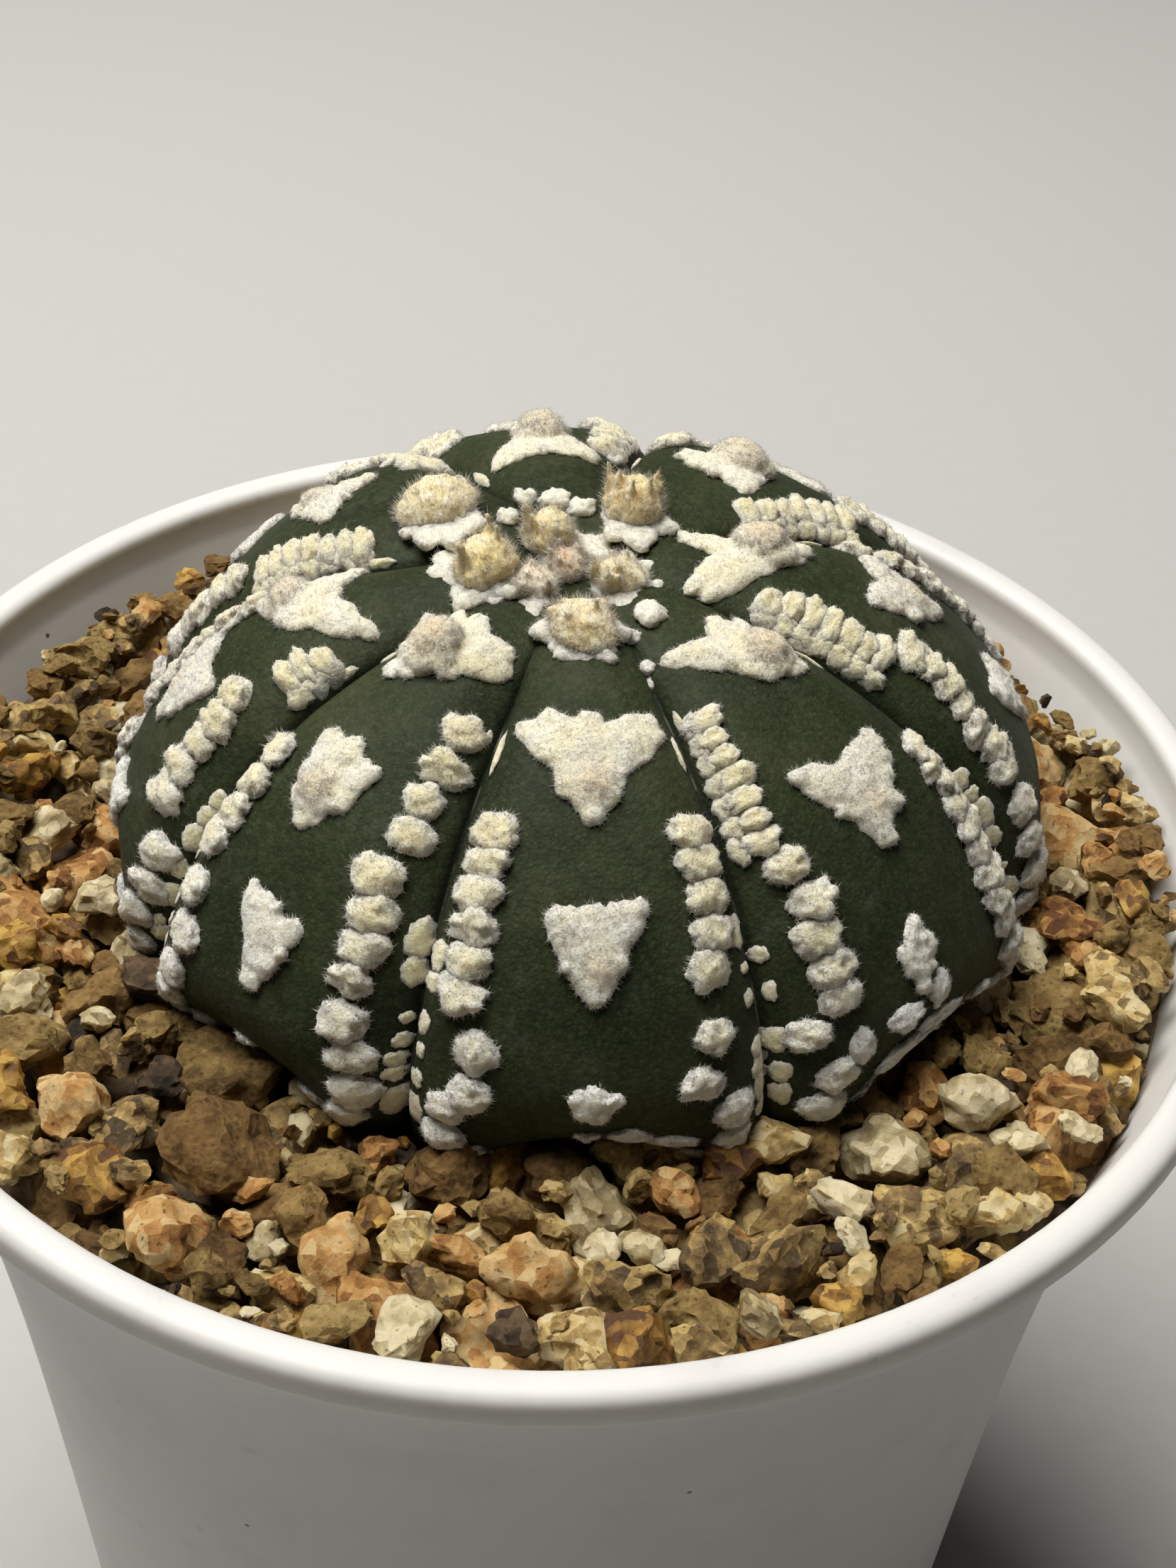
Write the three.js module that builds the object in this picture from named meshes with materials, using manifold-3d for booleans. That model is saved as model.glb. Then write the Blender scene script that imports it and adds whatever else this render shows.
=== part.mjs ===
// A star cactus with eight ribs in a white flared pot of gravel mix. Millimetres, +Z up, the origin at the
// centre of the pot's base, the front towards -Y.
import * as THREE from "three";
import { mergeVertices } from "three/addons/utils/BufferGeometryUtils.js";
import Module from "manifold-3d";

// Pot
const POT_HEIGHT = 80;
const RIM_RADIUS = 46;
const LIP_DEPTH = 2.2;
const LIP_WIDTH = 1.8;
const WALL = 1.4;
const FLOOR = 1.8;
const WALL_TOP_RADIUS = 39.9;
const WALL_TAPER = 0.064;
const FLARE = 6.2;
const FLARE_DEPTH = 12;
const BASE_EDGE = 1;
const POT_SIDES = 48;
const DRAIN_HOLES = 6;
const DRAIN_RADIUS = 3.5;
const DRAIN_CIRCLE = 21;

// Plant: where its equator sits, and the dome through its grooves
const PLANT_X = 1.7;
const PLANT_Y = 5.1;
const PLANT_Z = POT_HEIGHT - 2.3;
const PLANT_LEAN = 2;
const PLANT_RADIUS = 31.3;
const DOME_HEIGHT = 19.9;
const BASE_DEPTH = 15.9;
const DOME_ROUND = 0.735;
const DOME_FLAT = 1.24;

// Grooves: where the eight of them stand round the plant, in degrees, and their shape
const GROOVES = [-182.8, -146, -106.5, -64.7, -19.2, 27.5, 79, 124];
const GROOVE_DEPTH = 1.2;
const GROOVE_WIDTH = 1.5;
const CREST_SWELL = 1.2;
const BASE_TUCK = 5.5;
const CROWN_DIP = 1.6;
const CROWN_DIP_RADIUS = 5;

// Wool: the angle down from the crown of each rib's first areole, and the sizes of pads and flecks
const FIRST_AREOLE = [7, 14, 7, 16, 13, 10, 7, 13];
const CROWN_TUFT_RIBS = [0, 2, 5, 6, 7];
const LAST_AREOLE = 84;
const AREOLE_STEP = 19;
const AREOLE_STEP_GROWTH = 0.16;
const AREOLE_HEIGHT = 1.3;
const AREOLE_ROOT = 1.2;
const FLECK = 1.5;
const FLECK_STEP = 7.6;
const LAST_FLECK = 84;

// Potting mix
const MIX_TOP = POT_HEIGHT - 6.8;
const MIX_GAP = 0.3;
const PLANT_GAP = 1.1;
const STONES = 122;
const STONE_SMALL = 2.2;
const STONE_LARGE = 4.3;
const STONE_SIZES = 2.2;

const wasm = await Module();
wasm.setup();

const radians = THREE.MathUtils.degToRad;

// Numbers from 0 to 1 that are the same on each run.
let seed = 20;
function random() {
  seed = (Math.imul(seed, 1664525) + 1013904223) >>> 0;
  return seed / 2 ** 32;
}

const between = (low, high) => low + (high - low) * random();

// A closed geometry as a solid for joins and cuts.
function solidOf(geometry) {
  const bare = new THREE.BufferGeometry()
    .setIndex(geometry.index)
    .setAttribute("position", geometry.getAttribute("position"));
  const merged = mergeVertices(bare, 1e-4);
  return new wasm.Manifold(
    new wasm.Mesh({
      numProp: 3,
      vertProperties: merged.attributes.position.array,
      triVerts: new Uint32Array(merged.index.array),
    }),
  );
}

const joined = (solids) => solids.reduce((all, next) => all.add(next));

function meshOf(name, solid, material) {
  const { vertProperties, triVerts } = solid.getMesh();
  const geometry = new THREE.BufferGeometry()
    .setAttribute("position", new THREE.BufferAttribute(vertProperties, 3))
    .setIndex(new THREE.BufferAttribute(triVerts, 1));
  geometry.computeVertexNormals();
  const mesh = new THREE.Mesh(geometry, material);
  mesh.name = name;
  return mesh;
}

// A lathe round the Z axis, from a profile of [radius, height] pairs that runs up the outside.
function latheZ(profile, sides) {
  const points = profile.map(([r, z]) => new THREE.Vector2(r, z));
  return new THREE.LatheGeometry(points, sides).rotateX(Math.PI / 2);
}

// The pot

// The outer wall's radius, some way below the rim: a straight taper that flares out towards the lip.
function wallRadius(below) {
  return WALL_TOP_RADIUS - WALL_TAPER * below + FLARE * Math.exp(-below / FLARE_DEPTH);
}

const WALL_STATIONS = [2.2, 6, 11, 18, 30, 50];

function potSolid() {
  const below = (depth) => POT_HEIGHT - depth;
  const outside = WALL_STATIONS.map((d) => [wallRadius(d), below(d)]).reverse();
  const inside = WALL_STATIONS.map((d) => [wallRadius(d) - WALL, below(d)]);
  const baseRadius = wallRadius(POT_HEIGHT);
  const profile = [
    [0, 0],
    [baseRadius - BASE_EDGE, 0],
    [wallRadius(below(BASE_EDGE)), BASE_EDGE],
    ...outside,
    [RIM_RADIUS - 0.15, below(LIP_DEPTH)],
    [RIM_RADIUS, below(LIP_DEPTH / 2)],
    [RIM_RADIUS - 0.3, below(0.35)],
    [RIM_RADIUS - LIP_WIDTH / 2, POT_HEIGHT],
    [RIM_RADIUS - LIP_WIDTH + 0.2, below(0.35)],
    [RIM_RADIUS - LIP_WIDTH, below(0.9)],
    ...inside,
    [wallRadius(below(FLOOR)) - WALL, FLOOR],
    [0, FLOOR],
  ];
  const holes = Array.from({ length: DRAIN_HOLES }, (_, i) => {
    const angle = (i / DRAIN_HOLES) * 2 * Math.PI;
    const hole = new THREE.CylinderGeometry(DRAIN_RADIUS, DRAIN_RADIUS, 3 * FLOOR, 16)
      .rotateX(Math.PI / 2)
      .translate(DRAIN_CIRCLE * Math.cos(angle), DRAIN_CIRCLE * Math.sin(angle), FLOOR / 2);
    return solidOf(hole);
  });
  return solidOf(latheZ(profile, POT_SIDES)).subtract(joined(holes));
}

// The plant's body

const RIBS = GROOVES.length;

function ribSpan(rib) {
  const next = GROOVES[(rib + 1) % RIBS];
  return THREE.MathUtils.euclideanModulo(next - GROOVES[rib], 360);
}

// Radius and height of the dome through the grooves, at an angle down from the crown.
function dome(angle) {
  const s = Math.sin(radians(angle));
  const c = Math.cos(radians(angle));
  const height = c > 0 ? DOME_HEIGHT * c ** DOME_FLAT : -BASE_DEPTH * -c;
  return new THREE.Vector2(PLANT_RADIUS * s ** DOME_ROUND, height);
}

// The dome's outward normal there, as radius and height.
function domeNormal(angle) {
  const step = 0.2;
  const along = dome(Math.min(angle + step, 180)).sub(dome(Math.max(angle - step, 0)));
  return new THREE.Vector2(-along.y, along.x).normalize();
}

// How far the skin stands off that dome, at a share of the way across a rib.
function skinLift(rib, across, angle) {
  const edge = Math.min(across, 1 - across) * radians(ribSpan(rib)) * dome(angle).x;
  const deep = THREE.MathUtils.smoothstep(angle, 3, 25) * (1 - THREE.MathUtils.smoothstep(angle, 100, 130));
  const crease = GROOVE_DEPTH * deep * Math.exp(-((edge / GROOVE_WIDTH) ** 2));
  const arch = 1 - Math.abs(2 * across - 1) ** 2.4;
  const swell = CREST_SWELL * Math.exp(-(((angle - 88) / 30) ** 2));
  const middle = Math.exp(-(((across - 0.5) / 0.27) ** 2));
  const under = THREE.MathUtils.clamp((angle - 72) / 29, 0, 1) ** 1.5;
  return swell * arch - crease - BASE_TUCK * under * middle;
}

function skinPoint(rib, across, angle, lift = 0) {
  const turn = radians(GROOVES[rib] + ribSpan(rib) * across);
  const off = skinLift(rib, across, angle) + lift;
  const place = dome(angle).addScaledVector(domeNormal(angle), off);
  const dip = CROWN_DIP * Math.exp(-((place.x / CROWN_DIP_RADIUS) ** 2)) * (angle < 90);
  return new THREE.Vector3(place.x * Math.cos(turn), place.x * Math.sin(turn), place.y - dip);
}

const ACROSS = [0, 0.09, 0.28, 0.5, 0.72, 0.91];
const ROW_ANGLES = [4, 11, 20, 30, 41, 52, 63, 74, 85, 96, 107, 124, 148];

// The skin as a closed grid of rows between a crown point and a base point.
function bodyGeometry(lift) {
  const columns = RIBS * ACROSS.length;
  const rows = ROW_ANGLES.length;
  const crown = new THREE.Vector3(0, 0, DOME_HEIGHT - CROWN_DIP + lift);
  const base = new THREE.Vector3(0, 0, -BASE_DEPTH - lift);
  const points = [crown, base];
  for (const angle of ROW_ANGLES)
    for (let rib = 0; rib < RIBS; rib++)
      for (const across of ACROSS) points.push(skinPoint(rib, across, angle, lift));
  const at = (row, column) => 2 + row * columns + (column % columns);
  const faces = [];
  for (let column = 0; column < columns; column++) {
    faces.push(0, at(0, column), at(0, column + 1));
    faces.push(1, at(rows - 1, column + 1), at(rows - 1, column));
    for (let row = 0; row < rows - 1; row++) {
      const [a, b] = [at(row, column), at(row, column + 1)];
      const [c, d] = [at(row + 1, column + 1), at(row + 1, column)];
      faces.push(a, c, b, a, d, c);
    }
  }
  return new THREE.BufferGeometry().setFromPoints(points).setIndex(faces);
}

// Places a geometry, made round the origin with +Y towards the crown and +Z outwards, on the skin.
function onSkin(geometry, rib, across, angle, sink) {
  const place = skinPoint(rib, across, angle, -sink);
  const up = skinPoint(rib, across, angle - 1).sub(skinPoint(rib, across, angle + 1)).normalize();
  const side = skinPoint(rib, across + 0.02, angle).sub(skinPoint(rib, across - 0.02, angle));
  const out = side.cross(up).normalize();
  const right = up.clone().cross(out);
  return geometry.applyMatrix4(new THREE.Matrix4().makeBasis(right, up, out).setPosition(place));
}

// A V of wool that opens towards the crown, with a blunt knob at its lower point.
const AREOLE_OUTLINE = [
  [-1.1, -2.9],
  [1.1, -2.9],
  [1.9, -0.9],
  [4.1, 1.9],
  [3.3, 3.1],
  [0, 1.1],
  [-3.3, 3.1],
  [-4.1, 1.9],
  [-1.9, -0.9],
];

function areoleSolid(rib, angle) {
  const size = THREE.MathUtils.mapLinear(angle, 20, 90, 1.05, 0.62) * (angle < 20 ? 0.8 : 1);
  const outline = new THREE.Shape(AREOLE_OUTLINE.map(([x, y]) => new THREE.Vector2(x * size, y * size)));
  const pad = new THREE.ExtrudeGeometry(outline, { depth: AREOLE_HEIGHT + AREOLE_ROOT, bevelEnabled: false });
  return solidOf(onSkin(pad, rib, 0.5, angle, AREOLE_ROOT));
}

function areoleAngles(rib) {
  const angles = [];
  for (let angle = FIRST_AREOLE[rib]; angle < LAST_AREOLE; angle += AREOLE_STEP + AREOLE_STEP_GROWTH * angle)
    angles.push(angle);
  return CROWN_TUFT_RIBS.includes(rib) ? angles.slice(1) : angles;
}

// How far a row of flecks keeps from its groove, and where it starts. A rib whose areoles start further from
// the crown has its rows start sooner, close to the groove, and then steps out to a wider line.
function fleckRow(rib) {
  const early = FIRST_AREOLE[rib] > 8;
  const start = early ? 22 : 36;
  const offset = (angle) => {
    if (angle > 78) return 3;
    if (early) return angle < 41 ? 1.7 : 4.1;
    return THREE.MathUtils.mapLinear(THREE.MathUtils.smoothstep(angle, 40, 70), 0, 1, 2.1, 4.6);
  };
  return { start, offset };
}

function fleckSolids(rib) {
  const { start, offset } = fleckRow(rib);
  const flecks = [];
  for (const side of [0, 1])
    for (let angle = start; angle < LAST_FLECK; angle += FLECK_STEP * between(0.85, 1.15)) {
      const arc = radians(ribSpan(rib)) * dome(angle).x;
      const away = (offset(angle) + between(-0.25, 0.25)) / arc;
      const size = FLECK * between(0.85, 1.1);
      const pad = new THREE.IcosahedronGeometry(1, 0)
        .rotateZ(between(0, Math.PI))
        .scale(size * 1.15, size * 0.95, 1);
      flecks.push(solidOf(onSkin(pad, rib, side ? 1 - away : away, angle, 0.2)));
    }
  return flecks;
}

function plantSolid() {
  const parts = [solidOf(bodyGeometry(0))];
  for (let rib = 0; rib < RIBS; rib++) {
    parts.push(...areoleAngles(rib).map((angle) => areoleSolid(rib, angle)));
    parts.push(...fleckSolids(rib));
  }
  return joined(parts);
}

// The crown's wool: a tuft at the growing point, and one over the first areole of each rib that starts close to it.
function crownWoolSolid() {
  const tuft = (rib, angle, width, length, height) => {
    const shape = new THREE.SphereGeometry(1, 8, 4).scale(width, length, height);
    return solidOf(onSkin(shape, rib, 0.5, angle, -0.3));
  };
  const middle = tuft(2, 1, 4.4, 4.4, 2.2);
  const round = CROWN_TUFT_RIBS.map((rib) => tuft(rib, 0.65 * FIRST_AREOLE[rib], 3.1, 5, 2.8));
  return joined([middle, ...round]).subtract(solidOf(bodyGeometry(MIX_GAP)));
}

// The potting mix

// A rough grain: a ball of twenty faces, squashed and turned.
function stoneSolid(x, y, size) {
  const grain = new THREE.IcosahedronGeometry(1, 0)
    .scale(size * between(0.9, 1.25), size * between(0.7, 0.95), size * between(0.6, 0.85))
    .rotateX(between(-0.5, 0.5))
    .rotateY(between(-0.5, 0.5))
    .rotateZ(between(0, Math.PI))
    .translate(x, y, MIX_TOP + between(-0.1, 0.2) * size);
  return solidOf(grain);
}

// Grains dropped at random between plant and wall, each kept from those before it.
function stoneSolids() {
  const inner = PLANT_RADIUS - 1;
  const outer = wallRadius(POT_HEIGHT - MIX_TOP) - WALL;
  const placed = [];
  for (let tries = 0; placed.length < STONES && tries < 20000; tries++) {
    const size = STONE_SMALL + (STONE_LARGE - STONE_SMALL) * random() ** STONE_SIZES;
    const turn = between(0, 2 * Math.PI);
    const reach = between(inner - 8, outer - size - MIX_GAP);
    const [x, y] = [reach * Math.cos(turn), reach * Math.sin(turn)];
    const clear = Math.hypot(x - PLANT_X, y - PLANT_Y) > inner + 0.4 * size;
    if (clear && placed.every((s) => Math.hypot(s.x - x, s.y - y) > 0.72 * (s.size + size)))
      placed.push({ x, y, size });
  }
  return placed.map(({ x, y, size }) => stoneSolid(x, y, size));
}

function mixSolid() {
  const bottom = FLOOR + MIX_GAP;
  const inside = (depth) => [wallRadius(depth) - WALL - MIX_GAP, POT_HEIGHT - depth];
  const top = POT_HEIGHT - MIX_TOP;
  const stations = WALL_STATIONS.filter((depth) => depth > top + 1);
  const profile = [
    [0, bottom],
    [wallRadius(POT_HEIGHT - bottom) - WALL - MIX_GAP, bottom],
    ...stations.map(inside).reverse(),
    inside(top),
    [0, MIX_TOP],
  ];
  const grown = bodyGeometry(PLANT_GAP)
    .rotateX(radians(PLANT_LEAN))
    .translate(PLANT_X, PLANT_Y, PLANT_Z);
  return joined([solidOf(latheZ(profile, POT_SIDES)), ...stoneSolids()]).subtract(solidOf(grown));
}

// Materials
const whitePlastic = new THREE.MeshStandardMaterial({ color: 0xe9e8e6, roughness: 0.42 });
const mineralMix = new THREE.MeshStandardMaterial({ color: 0xa98a5c, roughness: 0.9 });
const greenSkin = new THREE.MeshStandardMaterial({ color: 0x2f3d2e, roughness: 0.62 });
const yellowWool = new THREE.MeshStandardMaterial({ color: 0xd8c493, roughness: 1 });

// The plant leans a little towards the front.
const plant = new THREE.Group();
plant.position.set(PLANT_X, PLANT_Y, PLANT_Z);
plant.rotation.x = radians(PLANT_LEAN);
plant.add(meshOf("cactus_body", plantSolid(), greenSkin));
plant.add(meshOf("crown_wool", crownWoolSolid(), yellowWool));

const pottedCactus = new THREE.Group();
pottedCactus.add(meshOf("pot", potSolid(), whitePlastic));
pottedCactus.add(meshOf("potting_mix", mixSolid(), mineralMix));
pottedCactus.add(plant);

export default pottedCactus;
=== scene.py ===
# A star cactus with eight ribs in a white flared pot of mineral mix: the finish of every visible piece.
import math

import bpy
import numpy as np
from mathutils import Matrix, Vector, noise


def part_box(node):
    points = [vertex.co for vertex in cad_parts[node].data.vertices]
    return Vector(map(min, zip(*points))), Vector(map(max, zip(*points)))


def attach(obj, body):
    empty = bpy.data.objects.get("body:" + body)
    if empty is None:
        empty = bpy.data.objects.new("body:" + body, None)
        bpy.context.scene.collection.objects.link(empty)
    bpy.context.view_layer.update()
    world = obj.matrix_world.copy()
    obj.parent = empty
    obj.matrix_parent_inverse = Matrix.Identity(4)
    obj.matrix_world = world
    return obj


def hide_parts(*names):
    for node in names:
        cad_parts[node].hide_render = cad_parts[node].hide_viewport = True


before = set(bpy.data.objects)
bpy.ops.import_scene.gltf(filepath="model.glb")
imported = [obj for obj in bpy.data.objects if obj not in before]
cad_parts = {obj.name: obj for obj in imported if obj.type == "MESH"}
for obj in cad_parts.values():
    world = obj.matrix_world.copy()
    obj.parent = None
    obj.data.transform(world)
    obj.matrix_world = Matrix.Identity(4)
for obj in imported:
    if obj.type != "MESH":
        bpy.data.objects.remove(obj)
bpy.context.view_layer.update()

# Sizes in metres, read from the frame
MM = 0.001
POT_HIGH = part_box("pot")[1]
POT_HEIGHT = POT_HIGH[2]
RIM_RADIUS = POT_HIGH[0]

# Pot: lip, wall, flare and drain holes
LIP_DEPTH = 2.4 * MM
LIP_WIDTH = 2.45 * MM
BEAD_HEIGHT = 1.0 * MM
BEAD_SQUARE = 0.8
WALL = 1.4 * MM
FLOOR_THICKNESS = 1.8 * MM
WALL_TOP_RADIUS = 39.9 * MM
WALL_TAPER = 0.064
FLARE = 6.2 * MM
FLARE_DEPTH = 12 * MM
DRAIN_HOLES = 6
DRAIN_RADIUS = 3.5 * MM
DRAIN_CIRCLE = 21 * MM

# Plant, in millimetres in its own frame: the dome through its grooves
PLANT_PLACE = Vector((1.7 * MM, 5.1 * MM, POT_HEIGHT - 2.3 * MM))
PLANT_LEAN = math.radians(2)
PLANT_RADIUS = 31.3
DOME_HEIGHT = 19.9
BASE_DEPTH = 15.9
DOME_ROUND = 0.735
DOME_FLAT = 1.24
GROOVES = np.array([-182.8, -146, -106.5, -64.7, -19.2, 27.5, 79, 124])
RIB_SPANS = np.mod(np.roll(GROOVES, -1) - GROOVES, 360)
RIBS = len(GROOVES)
CREST_SWELL = 1.2
BASE_TUCK = 5.5
CROWN_DIP = 1.6
CROWN_DIP_RADIUS = 5
# The skin turns down into a groove in a wide shoulder and a sharp crease
SHOULDER_DEPTH = 1.1
SHOULDER_WIDTH = 2.0
CREASE_DEPTH = 0.9
CREASE_WIDTH = 0.3
# The ribs swell most near the belly, and their middles tuck in below it
BELLY_ANGLE = 88
BELLY_SPREAD = 30
TUCK_ANGLE = 72
TUCK_SPREAD = 29
MIDDLE_SHARE = 0.27
# One flank is a little flatter than the others
FLANK_TURN = 170
FLANK_WIDTH = 38
FLANK_SHARE = 0.068

# Angle from one areole to the next on a rib, and how it grows on the way down
AREOLE_STEP = 19
AREOLE_STEP_GROWTH = 0.16

# Wool pads are ragged up to this height in mm, and a hair's three sides stand a third of a turn apart
FRAYED_TO = 0.45
THIRD_TURN = 2.0944

# Mix: its height, and the gap that its filling keeps from the pot
MIX_TOP = POT_HEIGHT - 6.8 * MM
MIX_GAP = 0.3 * MM

draws = np.random.default_rng(7)


# Helpers for meshes and objects

def select_none():
    if bpy.context.object and bpy.context.object.mode != "OBJECT":
        bpy.ops.object.mode_set(mode="OBJECT")
    bpy.ops.object.select_all(action="DESELECT")


def make_active(piece):
    select_none()
    piece.select_set(True)
    bpy.context.view_layer.objects.active = piece


def named(piece, name):
    piece.name = name
    piece.data.name = name
    return piece


def places_of(piece):
    points = np.empty(len(piece.data.vertices) * 3)
    piece.data.vertices.foreach_get("co", points)
    return points.reshape(-1, 3)


def set_places(piece, points):
    piece.data.vertices.foreach_set("co", np.asarray(points, dtype=float).ravel())
    piece.data.update()


def apply_modifiers(piece):
    make_active(piece)
    for modifier in list(piece.modifiers):
        bpy.ops.object.modifier_apply(modifier=modifier.name)


def settle(piece):
    """Puts the piece's place, turn and scale into its mesh."""
    make_active(piece)
    bpy.ops.object.transform_apply(location=True, rotation=True, scale=True)


def lump(place, size, turn=0.0, detail=3):
    """A round primitive at its place, stretched, and turned about its own middle."""
    select_none()
    bpy.ops.mesh.primitive_ico_sphere_add(subdivisions=detail, radius=1, location=place, rotation=(0, 0, turn))
    piece = bpy.context.object
    piece.scale = size
    bpy.ops.object.transform_apply(location=True, rotation=True, scale=True)
    return piece


def joined(pieces):
    select_none()
    for piece in pieces:
        piece.select_set(True)
    bpy.context.view_layer.objects.active = pieces[0]
    bpy.ops.object.join()
    return bpy.context.object


def melted(piece, voxel, rounds):
    """Runs the joined lumps into one skin and softens it."""
    remesh = piece.modifiers.new("melt", "REMESH")
    remesh.mode = "VOXEL"
    remesh.voxel_size = voxel
    soften = piece.modifiers.new("soften", "SMOOTH")
    soften.factor = 0.5
    soften.iterations = rounds
    apply_modifiers(piece)


def roughened(piece, layers, seed):
    """Moves each point out or in along its normal by layers of smooth noise, each a size and a depth."""
    points = places_of(piece)
    normals = np.array([v.normal[:] for v in piece.data.vertices])
    move = sum(depth * lumps(points, size, seed + 13 * i) for i, (size, depth) in enumerate(layers))
    set_places(piece, points + normals * move[:, None])


def edit_all(piece):
    make_active(piece)
    bpy.ops.object.mode_set(mode="EDIT")
    bpy.ops.mesh.select_all(action="SELECT")


def cut_away(piece, place, facing):
    """Cuts the piece by a plane, drops what stands in front of it and closes the cut."""
    edit_all(piece)
    bpy.ops.mesh.bisect(plane_co=place, plane_no=facing, use_fill=True, clear_outer=True)
    bpy.ops.object.mode_set(mode="OBJECT")


def thinned(piece, faces):
    """Brings the piece down to about this many triangles."""
    triangles = sum(len(p.vertices) - 2 for p in piece.data.polygons)
    if triangles > faces:
        thin = piece.modifiers.new("thin", "DECIMATE")
        thin.ratio = faces / triangles
        apply_modifiers(piece)


def taken_shape(piece):
    """The points and triangles of a finished master, which is then put away."""
    edit_all(piece)
    bpy.ops.mesh.quads_convert_to_tris()
    bpy.ops.object.mode_set(mode="OBJECT")
    points = places_of(piece)
    triangles = np.array([p.vertices[:] for p in piece.data.polygons])
    bpy.data.objects.remove(piece)
    return points, triangles


def turned(name, sides, profile):
    """A disc whose rim is extruded from station to station, each a radius and a height, and then closed."""
    select_none()
    radius, height = profile[0]
    bpy.ops.mesh.primitive_circle_add(vertices=sides, radius=radius, fill_type="NGON", location=(0, 0, height))
    piece = named(bpy.context.object, name)
    bpy.ops.object.mode_set(mode="EDIT")
    bpy.ops.mesh.select_mode(type="EDGE")
    bpy.ops.mesh.select_all(action="SELECT")
    for next_radius, next_height in profile[1:]:
        bpy.ops.mesh.extrude_edges_move(TRANSFORM_OT_translate={"value": (0, 0, next_height - height)})
        scale = next_radius / radius
        bpy.ops.transform.resize(value=(scale, scale, 1), center_override=(0, 0, next_height))
        radius, height = next_radius, next_height
    bpy.ops.mesh.fill()
    bpy.ops.mesh.select_all(action="SELECT")
    bpy.ops.mesh.normals_make_consistent(inside=False)
    bpy.ops.object.mode_set(mode="OBJECT")
    settle(piece)
    return piece


def dress(piece, material):
    piece.data.materials.clear()
    piece.data.materials.append(material)


def felted(parts, voxel, foot, layers, seed, faces):
    """Lumps run into one soft body, cut flat at the foot and roughened: its points and triangles."""
    body = joined(parts)
    melted(body, voxel, 2)
    cut_away(body, (0, 0, foot), (0, 0, -1))
    roughened(body, layers, seed)
    thinned(body, faces)
    return taken_shape(body)


def frayed(shape, depth):
    """The shape with its points pushed out sideways at random, most at the foot, so that its edge is ragged."""
    points, triangles = shape
    middle = (points.max(0) + points.min(0)) / 2
    out = (points - middle) * [1, 1, 0]
    out /= np.linalg.norm(out, axis=1)[:, None] + 1e-9
    foot = 1 - smoothstep(points[:, 2], 0, FRAYED_TO)
    push = depth * draws.uniform(-0.35, 1.0, len(points)) * (0.25 + 0.75 * foot)
    return points + out * push[:, None], triangles


class Heap:
    """Points in metres, triangles and named values of many small shapes that become one piece."""

    def __init__(self):
        self.points, self.triangles, self.values, self.count = [], [], {}, 0

    def add(self, points, triangles, **values):
        self.points.append(points)
        self.triangles.append(triangles + self.count)
        self.count += len(points)
        for key, value in values.items():
            self.values.setdefault(key, []).append(np.broadcast_to(value, len(points)))

    def piece(self, name):
        """A smooth mesh of all that was added, with its named values for each point."""
        points, triangles = np.concatenate(self.points), np.concatenate(self.triangles)
        mesh = bpy.data.meshes.new(name)
        mesh.vertices.add(len(points))
        mesh.vertices.foreach_set("co", points.ravel())
        mesh.loops.add(len(triangles) * 3)
        mesh.loops.foreach_set("vertex_index", triangles.ravel())
        mesh.polygons.add(len(triangles))
        mesh.polygons.foreach_set("loop_start", np.arange(0, len(triangles) * 3, 3))
        mesh.update(calc_edges=True)
        mesh.polygons.foreach_set("use_smooth", np.full(len(triangles), True))
        for key, parts in self.values.items():
            layer = mesh.attributes.new(key, "FLOAT", "POINT")
            layer.data.foreach_set("value", np.concatenate(parts))
        mesh.validate()
        piece = bpy.data.objects.new(name, mesh)
        bpy.context.scene.collection.objects.link(piece)
        return piece


def lumps(points, size, seed):
    """Smooth noise from -1 to 1 at each point, with lumps about size across."""
    shift = Vector((seed * 7.3, seed * 3.1, seed * 5.7))
    return np.array([noise.noise(Vector(p) / size + shift) for p in points])


def polar(reach, turn, height):
    """The place at a reach from the axis, turned about it by an angle in radians, and at a height."""
    return reach * math.cos(turn), reach * math.sin(turn), height


def smoothstep(x, low, high):
    t = np.clip((x - low) / (high - low), 0, 1)
    return t * t * (3 - 2 * t)


# Materials

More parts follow.
